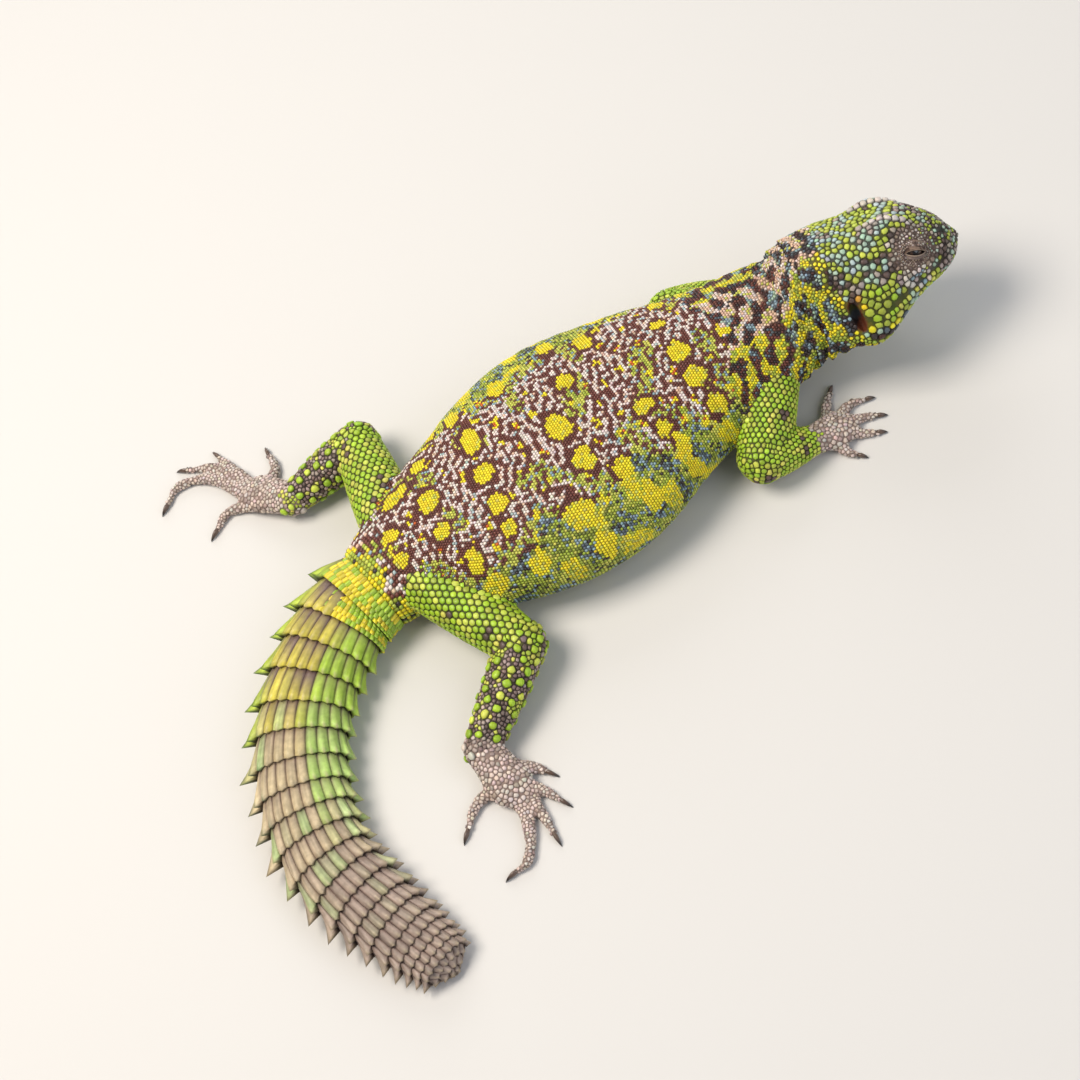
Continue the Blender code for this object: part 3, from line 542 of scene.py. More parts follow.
# thick horn of the tail plates, worn on top: satin, with growth lines
plateHorn = tintedMaterial("plateHorn", {"Roughness": 0.5, "IOR": 1.54, "mottle": 1.6, "mottleDepth": 0.16,
                                         "grain": 0.4, "bump": 0.5})
# claw horn, polished by walking: dark with a gloss
clawHorn = tintedMaterial("clawHorn", {"Roughness": 0.34, "IOR": 1.55, "mottle": 0.8, "mottleDepth": 0.12,
                                       "grain": 0.3, "bump": 0.25, "Coat Weight": 0.2})
# a wet cornea over a dark brown iris: the only mirror-like surface on the animal
wetEye = tintedMaterial("wetEye", {"Roughness": 0.1, "IOR": 1.376, "mottle": 0.5, "mottleDepth": 0.2,
                                   "grain": 0.4, "bump": 0.02, "Coat Weight": 1.0, "Coat Roughness": 0.03})
print("materials made")

# the skin
skinLook = {  # mm; nose has the share, reach and length of each ring that closes it
    "voxel": 0.8, "smooth": 6, "bodyRows": 300, "bodySides": 200, "tailRows": 150, "tailSides": 60,
    "tailShare": (0.93, 0.95), "tailSunk": 0.9, "digitSunk": 0.2,
    "nose": ((0.8, 0.55, 0.5), (0.45, 0.9, 0.9), (0.12, 1.0, 1.0)),
}


def bodyGrid(grow):
    # rings from the tail's root to the snout and small ones that close it, with the length of each
    t = np.linspace(0, bodyLong, skinLook["bodyRows"])
    a = circle(skinLook["bodySides"])
    grid = bodyPoint(t[:, None], a[None, :], grow)
    ring = grid[-1]
    nose = ring.mean(0)
    caps = [nose + (ring - nose) * share + headAxes[0] * reach for share, reach, _ in skinLook["nose"]]
    lengths = bodyLong + np.array([length for _, _, length in skinLook["nose"]])
    return np.concatenate([grid, np.array(caps)]), np.concatenate([t, lengths])


def tailGrid(grow):
    # rings from the tail's root to its blunt tip, with the length of each
    lengths, a = np.linspace(0, whorlEnds[-1], skinLook["tailRows"]), circle(skinLook["tailSides"])
    full, atTip = skinLook["tailShare"]
    rings = [tailPoint(lengths[:, None] + 0 * a, a[None, :] + 0 * lengths[:, None], full, grow)]
    for more, share in tail["tip"]:
        rings.append(tailPoint(np.full((1, len(a)), whorlEnds[-1] + more), a[None, :], share * atTip, grow))
    tip = lengths[-1] + np.array([more for more, _ in tail["tip"]])
    return np.concatenate(rings), np.concatenate([lengths, tip])


def arcFromTop(grid):
    # signed length round each ring from its top point, plus to the animal's left
    step = np.linalg.norm(np.roll(grid, -1, axis=1) - grid, axis=2)
    run = np.cumsum(step, axis=1) - step
    whole = step.sum(axis=1, keepdims=True)
    top = run[:, grid.shape[1] // 4][:, None]
    return (top - run + whole / 2) % whole - whole / 2


parts = []  # label, grid of points, and the length t and arc w from the midline at each point


def addPart(label, grid, t=0.0, w=0.0):
    # t and w stay 0 on the limbs
    level = 0 * grid[..., 0]
    parts.append({"label": label, "grid": grid, "t": t + level, "w": w + level})


for label, (rings, lengths) in (("body", bodyGrid(-sunk)), ("tail", tailGrid(-skinLook["tailSunk"]))):
    addPart(label, rings, lengths[:, None], arcFromTop(rings))
for limbName, limb in limbs.items():
    for i, label in enumerate(("upper", "lower", "palm")):
        addPart(label + limbName, limbRings(limb, i))
    kind = limb["end"][:4]
    for points in digits[limb["end"]]:
        addPart("digit" + limbName, digitTube(points, digitShape[kind], -skinLook["digitSunk"]))


def joinedMesh(meshes, name):
    # all the meshes as one, each still a shell of its own
    form = bmesh.new()
    for mesh in meshes:
        form.from_mesh(mesh)
        bpy.data.meshes.remove(mesh)
    mesh = bpy.data.meshes.new(name)
    form.to_mesh(mesh)
    form.free()
    return mesh


def applied(mesh, name, settings):
    # the mesh after one modifier, with its settings by name
    item = newObject("work", mesh)
    modifier = item.modifiers.new(name, name)
    for key, value in settings.items():
        setattr(modifier, key, value)
    made = bpy.data.meshes.new_from_object(item.evaluated_get(bpy.context.evaluated_depsgraph_get()))
    bpy.data.objects.remove(item)
    return made


def settled(mesh, name):
    # the same mesh with every face begun at its lowest point and the faces in order, because a cut leaves them
    # in an order that changes from run to run
    faces = []
    for face in mesh.polygons:
        around = list(face.vertices)
        first = around.index(min(around))
        faces.append(around[first:] + around[:first])
    made = bpy.data.meshes.new(name)
    made.from_pydata(coordinates(mesh).tolist(), [], sorted(faces))
    bpy.data.meshes.remove(mesh)
    return made


def ballMesh(centre, radii, axes, sides=24):
    # a ball scaled by the radii along the rows of axes, about a centre in drawing millimetres
    form = bmesh.new()
    bmesh.ops.create_uvsphere(form, u_segments=sides, v_segments=sides // 2, radius=1)
    for vert in form.verts:
        vert.co = Vector(place(np.asarray(centre) + (np.array(vert.co) * np.asarray(radii)) @ axes))
    mesh = bpy.data.meshes.new("ball")
    form.to_mesh(mesh)
    form.free()
    return mesh


def eyeAxes(side):
    # rows along the slit, out of the head and across the slit
    out = unit((0.22, side, 0.12))
    tilt = math.radians(eye["tilt"])
    along = unit(np.cross(out, (0, 0, 1)) * side)
    across = np.cross(along, out) * side
    turned = along * math.cos(tilt) + across * math.sin(tilt), across * math.cos(tilt) - along * math.sin(tilt)
    return np.array([turned[0], out, turned[1]]) @ headAxes


skinMesh = joinedMesh([tubeMesh("part", place(p["grid"])) for p in parts], "skin")
skinMesh = applied(skinMesh, "REMESH", {"mode": "VOXEL", "voxel_size": skinLook["voxel"] * mm})
skinMesh = applied(skinMesh, "SMOOTH", {"factor": 0.5, "iterations": skinLook["smooth"]})
closedTree = BVHTree.FromPolygons([tuple(p) for p in coordinates(skinMesh) / mm + middle],
                                  [tuple(f.vertices) for f in skinMesh.polygons])  # still whole, for the lids
hollows = []
for side in (1, -1):
    hollows.append(ballMesh(headPlace(onSide(ear["at"], side)), ear["size"], headAxes))
    hollows.append(ballMesh(headPlace(onSide(nostril["at"], side)), nostril["size"], headAxes, 12))
    hollows.append(ballMesh(headPlace(onSide(eye["at"], side)), [eye["radius"] + eye["room"]] * 3, headAxes))
hollow = newObject("hollows", joinedMesh(hollows, "hollows"))
skinMesh = applied(skinMesh, "BOOLEAN", {"operation": "DIFFERENCE", "object": hollow, "solver": "MANIFOLD"})
skinMesh = settled(skinMesh, "skin")
bpy.data.objects.remove(hollow)
print("skin joined:", len(skinMesh.vertices), "points")

# every skin point takes its length t, arc w and label from the nearest point of the parts
allPoints = np.concatenate([p["grid"].reshape(-1, 3) for p in parts])
allLabels = np.concatenate([np.full(p["grid"][..., 0].size, i) for i, p in enumerate(parts)])
allT, allW = (np.concatenate([p[key].ravel() for p in parts]) for key in ("t", "w"))


def treeOf(points):
    # a search tree over the points
    tree = KDTree(len(points))
    for i, p in enumerate(points):
        tree.insert(p, i)
    tree.balance()
    return tree


def nearestIndex(tree, points):
    # index in the tree of the nearest to each point
    return np.array([tree.find(p)[1] for p in points])


partTree = treeOf(allPoints)
skinPoints = coordinates(skinMesh) / mm + middle
nearest = nearestIndex(partTree, skinPoints)


def labelOf(index):
    # the label's name for each index into the parts' points
    names = np.array([p["label"] for p in parts])[allLabels[index]]
    t = allT[index]
    onBody = names == "body"
    return np.where(onBody & (t <= trunkLong), "trunk",
                    np.where(onBody & (t <= trunkLong + neckReach), "neck", np.where(onBody, "head", names)))


def isEnd(labels):
    # whether each label is of a hand or a foot
    return np.char.startswith(labels, "palm") | np.char.startswith(labels, "digit")


skinLabels = labelOf(nearest)
skinT, skinW = allT[nearest], allW[nearest]
creases = {  # from and to along the length, wavelength, depth, and arc from the midline where they begin, in mm
    "shoulder": (92, 119, 3.6, 0.34, 8), "hip": (8, 26, 4.2, 0.45, 9), "waist": (60, 92, 5.0, 0.16, 20),
}
foldLook = {"wander": 3.2, "slant": 0.06, "dent": 0.12, "fade": (6, 8), "wave": 5.2, "deep": 1.3, "jowlLong": 7,
            "jowlArc": (10, 18), "jowlDeep": 0.5}  # mm, and slant in mm for each mm of arc


def skinFolds(label, t, w, points):
    # how far each skin point sinks: loose creases across the trunk, deep wandering
    # folds round the neck, soft dents
    arc, (fadeT, fadeW), back = np.abs(w), foldLook["fade"], foldLook["jowlLong"]
    wander = foldLook["wander"] * valueNoise(points, 7, 91) + foldLook["slant"] * arc
    sink = foldLook["dent"] * valueNoise(points, 5, 92)
    for first, last, long, deep, begin in creases.values():
        shown = step01(first, first + fadeT, t) * (1 - step01(last - fadeT, last, t))
        shown = shown * step01(begin, begin + fadeW, arc)
        wave = 0.5 - 0.5 * np.cos(2 * math.pi * (t + wander) / long)
        sink = sink + np.where(label == "trunk", deep * shown * wave, 0)
    along = (t - trunkLong) / neckReach
    folds = 0.5 - 0.5 * np.cos(2 * math.pi * ((t + 1.7 * wander) / foldLook["wave"]))
    bow = np.sin(math.pi * np.clip(along, 0, 1))
    sink = sink + np.where(label == "neck", foldLook["deep"] * folds**2 * bow, 0)
    jowl = (label == "head") * np.clip((trunkLong + neckReach + back - t) / back, 0, 1)
    return sink + foldLook["jowlDeep"] * (jowl * step01(*foldLook["jowlArc"], arc)) * folds**2


sinks = skinFolds(skinLabels, skinT, skinW, skinPoints)
skinPoints = skinPoints - stored(skinMesh.vertices, "normal") * sinks[:, None]
skinMesh.vertices.foreach_set("co", place(skinPoints).astype(np.float32).ravel())
skinMesh.update()
skinTree = BVHTree.FromPolygons([tuple(p) for p in skinPoints], [tuple(f.vertices) for f in skinMesh.polygons])
print("skin labelled")

# where the scales grow
sowing = {  # pitch in mm of each region, and how far from even it is
    "trunk": (0.76, 0.05), "belly": (1.35, 0.05), "neck": (0.76, 0.12), "head": (1.42, 0.22), "lip": (1.3, 0.0),
    "brow": (1.9, 0.0), "thigh": (1.9, 0.0), "upper": (1.5, 0.1), "fore": (1.3, 0.0), "lower": (1.0, 0.15),
    "palm": (1.05, 0.2), "digit": (0.85, 0.1), "tubercle": (2.2, 0.15), "lid": (0.55, 0.0),
}
tubercleSpread = 1.45  # how much further apart the tubercles stand than their own size
clear = {"far": 1.6, "ear": 0.5, "nostril": 1.15, "lid": 0.1, "mouth": 0.5}  # mm that scales keep from forms
seedBook = []  # name, points and pitch of each planting


def plant(name, points, pitch):
    # enters points under a name, with one pitch or a pitch for each
    points = np.asarray(points, float)
    seedBook.append((name, points, np.zeros(len(points)) + pitch))


def alongRing(ring, pitch, shift, top):
    # points a pitch apart round a closed ring of fine points, from its top point,
    # shifted by a share of the pitch
    ring = np.concatenate([ring, ring[:1]])
    run = runAlong(ring)
    count = max(int(run[-1] / pitch), 3)
    at = (run[top] + (np.arange(count) + shift) * run[-1] / count) % run[-1]
    return np.stack([np.interp(at, run, ring[:, k]) for k in range(3)], -1)


def trunkSeeds(pitch, above):
    # rows square to the trunk, each bead half a pitch on from the row before; above or below the belly line.
    # The pitch grows towards the tail as 1 + 0.6 * (1 - smoothstep)
    fine = circle(400)
    found, sizes, t, n = [], [], 0.4, 0
    while t < trunkLong:
        size = pitch * (1 + 0.6 * (1 - float(step01(2, 12, t))) * above)
        found.append(alongRing(bodyPoint(np.full(400, t), fine, -sunk), size, 0.5 * (n % 2), 100))
        sizes.append(np.full(len(found[-1]), size))
        t, n = t + size * 0.92, n + 1
    seeds, sizes = np.concatenate(found), np.concatenate(sizes)
    mine = (seeds[:, 2] > sowing["belly"][0]) == above
    return seeds[mine], sizes[mine]


def limbSeeds(limb, i, pitch):
    # the same rows square to one length of a limb
    rows = int(np.linalg.norm(np.subtract(limb["joints"][i + 1], limb["joints"][i])) / (pitch * 0.8))
    rings = limbRings(limb, i, rows, 160)[7:7 + rows]  # without the seven rings of each rounded end
    return np.concatenate([alongRing(ring, pitch, 0.5 * (n % 2), 40) for n, ring in enumerate(rings)])


def lipSeeds(pitch):
    # one row of plates above and one below the mouth line, on both sides and round the snout
    x = np.arange(head["mouthBack"], head["x"][-1] - 0.2, pitch)
    rows = []
    for above in (math.radians(9.0), math.radians(-9.0)):
        for turned in (above, math.pi - above):
            rows.append(headPoint(x, np.full(len(x), turned), -sunk))
    return np.concatenate(rows)


skinMesh.calc_loop_triangles()
skinCorners = stored(skinMesh.loop_triangles, "vertices", np.int32)
cornerPoints = skinPoints[skinCorners]
triangleLabels = skinLabels[skinCorners[:, 0]]


def sow(chosen, pitchOf, seed, rounds=3, spread=1.0):
    # throws points on the chosen triangles by area, keeps each that is a pitch from all kept and planted before
    # it, then lets neighbours push one another apart along the skin; spread above 1 sets them further apart
    tri = cornerPoints[chosen]
    area = 0.5 * np.linalg.norm(np.cross(tri[:, 1] - tri[:, 0], tri[:, 2] - tri[:, 0]), axis=1)
    draw = np.random.default_rng(seed)
    least = float(pitchOf(tri[:, 0]).mean()) * spread * 0.8
    count = int(area.sum() / least**2 * 7)
    which = draw.choice(len(tri), count, p=area / area.sum())
    u, v = draw.random((2, count))
    past = u + v > 1
    u, v = np.where(past, 1 - u, u), np.where(past, 1 - v, v)
    a, b, c = tri[which, 0], tri[which, 1], tri[which, 2]
    thrown = a + u[:, None] * (b - a) + v[:, None] * (c - a)
    pitch = pitchOf(thrown)
    cell = float(pitch.max()) * spread
    taken, kept = {}, []
    low, high = tri.min(axis=(0, 1)) - 2, tri.max(axis=(0, 1)) + 2
    oldPoints, oldPitch = (np.concatenate([entry[k] for entry in seedBook]) for k in (1, 2))
    inside = ((oldPoints > low) & (oldPoints < high)).all(axis=1)
    oldPoints, oldPitch = oldPoints[inside], oldPitch[inside]
    thrown, pitch = np.concatenate([thrown, oldPoints]), np.concatenate([pitch, oldPitch])
    cells = np.floor(thrown / cell).astype(int)
    for i in range(count, len(thrown)):
        taken.setdefault(tuple(cells[i]), []).append(i)
    for i in range(count):
        if not crowded(i, cells, taken, thrown, pitch, count, spread):
            taken.setdefault(tuple(cells[i]), []).append(i)
            kept.append(i)
    points, pitch = thrown[kept], pitch[kept]
    for _ in range(rounds):
        points = relaxed(points, pitch, oldPoints, oldPitch, spread)
    return points, pitch


def crowded(i, cells, taken, thrown, pitch, count, spread):
    # whether any point taken so far in the cells about it is nearer than 0.43 of both pitches together
    cx, cy, cz = cells[i]
    p, limit = thrown[i], pitch[i]
    for dx in (-1, 0, 1):
        for dy in (-1, 0, 1):
            for dz in (-1, 0, 1):
                for k in taken.get((cx + dx, cy + dy, cz + dz), ()):
                    q = thrown[k]
                    reach = 0.43 * (limit + pitch[k]) * (spread if k < count else 1.0)
                    if (p[0] - q[0]) ** 2 + (p[1] - q[1]) ** 2 + (p[2] - q[2]) ** 2 < reach * reach:
                        return True
    return False


def relaxed(points, pitch, oldPoints, oldPitch, spread):
    # each point moved by 0.3 of what its neighbours overlap its pitch, and set back on the skin
    every, everyPitch = np.concatenate([points, oldPoints]), np.concatenate([pitch, oldPitch])
    index, gap, offset = neighbours(every, 7, len(points))
    want = 0.5 * (pitch[:, None] + everyPitch[index]) * 1.05 * spread
    push = np.clip(want - gap, 0, None)[..., None] * offset / np.maximum(gap, 1e-6)[..., None]
    moved = points - 0.3 * push.sum(axis=1)
    return np.array([tuple(skinTree.find_nearest(Vector(p))[0]) for p in moved])


def neighbours(points, count, first=None):
    # indices, distances and offsets of the nearest points of each of the first so many
    tree = treeOf(points)
    first = len(points) if first is None else first
    index = np.zeros((first, count), int)
    for i, p in enumerate(points[:first]):
        index[i] = [found[1] for found in tree.find_n(p, count + 1)][1:count + 1]
    offset = points[index] - points[:first, None]
    return index, np.linalg.norm(offset, axis=2), offset


def fixedPitch(size, rough, seed):
    # a function that gives size * (1 + rough * noise from -1 to 1 over 2.4 mm) at each point
    return lambda p: size * (1 + rough * wobble(p, 2.4, seed) * 2)


def headPitch(p):
    # the head's pitch, less on the snout, temple and round the eye, more on the cheek, times noise over 1.8 mm
    local = headLocal(p)
    size = np.full(len(p), sowing["head"][0])
    size = size * (1 - 0.3 * step01(10, 16, local[:, 0])) * (1 - 0.35 * step01(-9, -13, local[:, 0]))
    cheek = np.exp(-(((local[:, 0] + 4) / 5.5) ** 2 + ((local[:, 2] + 3.5) / 5) ** 2))
    size = size * (1 + 0.5 * (cheek * (np.abs(local[:, 1]) > 7)))
    for side in (1, -1):
        away = np.linalg.norm(local - onSide(eye["at"], side), axis=1)
        size = size * (1 - 0.5 * (1 - step01(4.4, 8, away)))
    return size * (1 + sowing["head"][1] * wobble(p, 1.8, 5) * 2)


def plantLimb(label, name, i, kind):
    # rows on one length of a limb, at the pitch of that kind
    pitch = sowing[kind][0]
    plant(label + name, limbSeeds(limbs[name], i, pitch), pitch)


browX = np.linspace(-0.5, 10, 7)
browLine = np.stack([browX, 5.7 + 0 * browX, 14.2 - 0.03 * browX**2], -1)  # raised scales over each eye
plant("trunk", *trunkSeeds(sowing["trunk"][0], True))
plant("belly", *trunkSeeds(sowing["belly"][0], False))
plant("lip", lipSeeds(sowing["lip"][0]), sowing["lip"][0])
for side in (1, -1):
    plant("brow", headPlace(onSide(browLine, side)), sowing["brow"][0])
for name in limbs:
    if name.startswith("hind"):
        fixed = fixedPitch(*sowing["tubercle"], 3)
        shank = triangleLabels == "lower" + name
        plant("tubercle", *sow(shank, fixed, 60 + len(seedBook), 2, tubercleSpread))
        plantLimb("upper", name, 0, "thigh")
    else:
        plantLimb("upper", name, 0, "upper")
        plantLimb("lower", name, 1, "fore")
sown = {"trunk": fixedPitch(*sowing["trunk"], 1), "neck": fixedPitch(*sowing["neck"], 2), "head": headPitch}
for kind in ("upper", "lower", "palm", "digit"):
    for name in limbs:
        sown[kind + name] = fixedPitch(*sowing[kind], 3)


def onTheirPart(name, points):
    # drops planted points that another part covers, by the label of the nearest skin
    spots = [skinTree.find_nearest(Vector(p)) for p in points]
    near = np.array([tuple(f[0]) for f in spots])
    label = labelOf(nearestIndex(partTree, near))
    wanted = {"belly": "trunk", "lip": "head", "brow": "head"}.get(name, name)
    good = (np.array([f[3] for f in spots]) < clear["far"]) & ((label == wanted) | (wanted == "tubercle"))
    return near[good], good


for number, (name, points, pitch) in enumerate(seedBook):
    near, good = onTheirPart(name, points)
    seedBook[number] = (name, near, pitch[good])
for number, (name, pitchOf) in enumerate(sown.items()):
    chosen = triangleLabels == name
    if name == "head":
        mid = headLocal(cornerPoints.mean(axis=1))
        level = through(head["x"], head["level"], np.clip(mid[:, 0], head["x"][0], head["x"][-1]))
        chosen = chosen & ((np.abs(mid[:, 2] - level) > clear["mouth"]) | (mid[:, 0] < head["mouthBack"]))
    points, pitch = sow(chosen, pitchOf, 20 + number)
    plant(name, points, pitch)
    print("sown", name, len(points))

seedNames = np.concatenate([np.full(len(entry[1]), entry[0], dtype="<U16") for entry in seedBook])
seeds, seedPitch = (np.concatenate([entry[k] for entry in seedBook]) for k in (1, 2))

# the lids: a patch round the slit that grows out of the head's own surface
lidLook = {"outer": (4.1, 3.2), "thick": 0.45, "blend": 0.3, "edge": (0.5, 0.16), "foldDeep": 0.12,
           "folds": 3.0, "rings": 30, "turns": 80, "granules": (0.5, 0.97)}


def eyeFlat(local, side):
    # where a point of the head lies on the eye's own plane: along and across the slit,
    # and out from the eye's middle
    axes = eyeAxes(side) @ headAxes.T
    off = (local - onSide(eye["at"], side)) @ axes.T
    return off[:, 0], off[:, 2], off[:, 1]


def lidGrid(side, r, turn):
    # position on the eye's plane goes from the slit's rim (r 0) to the outer oval (r 1). The
    # height over the plane is a soft maximum of the ball plus the lid's thickness and the whole
    # head's surface, with folds round the slit
    axes = eyeAxes(side)
    centre = headPlace(onSide(eye["at"], side))
    r, turn = np.broadcast_arrays(r, turn)
    c, z = np.cos(turn), np.sin(turn)
    slitX, slitUp, slitDown = eye["slit"]
    x = c * (slitX + (lidLook["outer"][0] - slitX) * r)
    y = z * (np.where(z > 0, slitUp, slitDown) * np.abs(z) ** 0.4 * (1 - r) + lidLook["outer"][1] * r)
    start = centre + x[..., None] * axes[0] + y[..., None] * axes[2]
    flat = start.reshape(-1, 3)
    hits = [closedTree.ray_cast(Vector(p + axes[1] * 12), Vector(-axes[1]))[0] for p in flat]
    skinHigh = np.array([float((np.array(h) - p) @ axes[1]) if h else 0.0 for h, p in zip(hits, flat)])
    skinHigh = skinHigh.reshape(x.shape)
    cover = eye["radius"] + lidLook["thick"]
    ball = np.sqrt(np.maximum(cover**2 - x**2 - y**2, 0.04))
    high = 0.5 * (ball + skinHigh + np.sqrt((ball - skinHigh) ** 2 + lidLook["blend"] ** 2))
    fade = 1 - step01(0.8, 1.0, r)
    high = high * fade + (skinHigh - 0.12) * (1 - fade)
    edge = np.where(z > 0, *lidLook["edge"])  # the upper lid overhangs
    high = high + edge * np.exp(-(((r - 0.07) / 0.07) ** 2))
    high = high + lidLook["foldDeep"] * np.sin(2 * math.pi * lidLook["folds"] * r) * step01(0.1, 0.25, r) * fade
    return start + high[..., None] * axes[1]


def lidGranules(side):
    # beads in rings round the slit, with their normals from the grid's own slopes
    found, normals = [], []
    low, high = lidLook["granules"]
    mean = sum(lidLook["outer"]) / 2
    for n, r in enumerate(np.arange(low, high, sowing["lid"][0] * 0.95 / mean)):
        count = int(2 * math.pi * (r * mean + (1 - r) * 1.3) / sowing["lid"][0])
        turn = (np.arange(count) + 0.5 * (n % 2)) * 2 * math.pi / count
        at = lidGrid(side, np.full(count, r), turn)
        du = lidGrid(side, np.full(count, r), turn + 0.05) - at
        dv = lidGrid(side, np.full(count, r + 0.02), turn) - at
        normal = unit(np.cross(du, dv))
        out = eyeAxes(side)[1]
        found.append(at)
        normals.append(normal * np.sign(normal @ out)[:, None])
    return np.concatenate(found), np.concatenate(normals)


# each seed is set on the skin, and left out where the tail, the ear, a nostril or a lid is
found = [skinTree.find_nearest(Vector(p)) for p in seeds]
onSkin = np.array([tuple(f[0]) for f in found])
normals = np.array([tuple(f[1]) for f in found])
far = np.array([f[3] for f in found])
index = nearestIndex(partTree, onSkin)
seedLabels = labelOf(index)
local = headLocal(onSkin)
keep = (far < clear["far"]) & (seedLabels != "tail") & (onSkin[:, 2] > 0.0)
lidLong, lidTall = np.array(lidLook["outer"]) - clear["lid"]
for side in (1, -1):
    keep &= (((local - onSide(ear["at"], side)) / (np.array(ear["size"]) + clear["ear"])) ** 2).sum(1) > 1
    along, across, out = eyeFlat(local, side)
    keep &= ((along / lidLong) ** 2 + (across / lidTall) ** 2 > 1) | (out < 0)
    keep &= np.linalg.norm(local - onSide(nostril["at"], side), axis=1) > clear["nostril"]
seeds, normals, seedLabels, seedPitch, seedNames, index = (
    v[keep] for v in (onSkin, normals, seedLabels, seedPitch, seedNames, index))
for side in (1, -1):
    points, outwards = lidGranules(side)
    seeds, normals = np.concatenate([seeds, points]), np.concatenate([normals, outwards])
    seedLabels = np.concatenate([seedLabels, np.full(len(points), "head")])
    seedNames = np.concatenate([seedNames, np.full(len(points), "lid")])
    seedPitch = np.concatenate([seedPitch, np.full(len(points), sowing["lid"][0])])
    index = np.concatenate([index, nearestIndex(partTree, points)])
seedT, seedW = allT[index], allW[index]
print("scales:", len(seeds))

# markings
# yellow eye-spots: length t from the tail's root, arc w from the midline, half-lengths along and across, in mm
eyeSpots = [
    (17.1, 10.5, 3.2, 2.4), (23.6, 1.7, 2.6, 3.2), (23.6, -7.8, 2.2, 2.0),
    (10.6, 1.2, 2.4, 2.2), (9.6, -6.4, 2.2, 2.0),
    (40.2, 11.0, 2.4, 4.4), (39.2, 0.0, 2.6, 2.9), (38.7, -10.1, 2.4, 2.6), (38.2, -17.4, 1.9, 2.2),
    (54.3, 21.6, 2.6, 3.4), (68.9, 8.4, 2.3, 2.4), (60.9, -1.4, 2.6, 3.8), (60.9, -13.9, 2.6, 3.4),
    (79.0, 17.5, 2.2, 3.6), (67.9, -21.5, 2.8, 2.6), (81.0, -10.7, 2.7, 2.5), (96.6, -1.8, 2.5, 3.0),
    (96.6, -10.4, 2.4, 2.8), (96.1, 8.7, 1.9, 1.7), (110.1, -2.7, 2.6, 2.4), (113.7, 8.7, 2.6, 3.4),
    (82.0, -18.9, 2.4, 2.6), (84.0, -24.2, 2.2, 3.0), (52.8, -25.0, 3.2, 3.8), (97.5, -19.5, 2.4, 2.8),
    (70.5, 24.0, 2.2, 3.4), (38.6, 23.0, 2.4, 3.2), (24.0, 15.0, 2.0, 2.4), (62.0, 32.0, 2.4, 3.2),
    (84.5, 27.0, 2.2, 3.2), (99.0, 18.0, 2.2, 2.8), (112.0, 17.0, 2.0, 2.6), (46.0, 33.0, 2.4, 3.6),
    (69.5, -31.0, 2.2, 4.0), (40.0, -29.0, 2.4, 3.6), (84.0, -32.0, 2.2, 3.6), (97.0, -28.0, 2.0, 3.6),
    (54.0, -35.0, 2.2, 4.0), (28.0, -20.0, 2.2, 3.0), (30.0, 24.0, 2.0, 3.0),
]
paints = palette(
    brown="#6f3a2e", pink="#efe0d6", rim="#4a231c", yellow="#f7e31c", orange="#d2641e",
    straw="#cfcf58", moss="#a7b63a", olive="#76822c", night="#33282a", slate="#56626a", blue="#8fa9b4",
    belly="#d8ce9a", peach="#e3bfa4", leaf="#a3c42a", lime="#c3cf4c", mist="#a9c3ac", ice="#b4c6c6",
    stone="#a3958b", umber="#5d4a42", ember="#d8a53a", chalk="#d2c8be", mauve="#806a63", hand="#d0beb3",
    handDark="#a9968c", lid="#8e7a6b")
spotLook = {"larger": 1.04, "ragged": 0.3, "raggedSize": 2.4, "rim": 1.42, "maze": 2.35}  # sizes in mm


def pick(draw, **shares):
    # for each drawn number from 0 to 1, the first paint in the list whose share is above it
    names = list(shares)
    colour = np.zeros((len(draw), 3)) + paints[names[-1]]
    for name in reversed(names[:-1]):
        colour = np.where((draw < shares[name])[:, None], paints[name], colour)
    return colour


def over(colour, top, share):
    # each bead takes one colour or the other, never a blend
    return np.where((np.asarray(share) > 0.5)[:, None], top, colour)


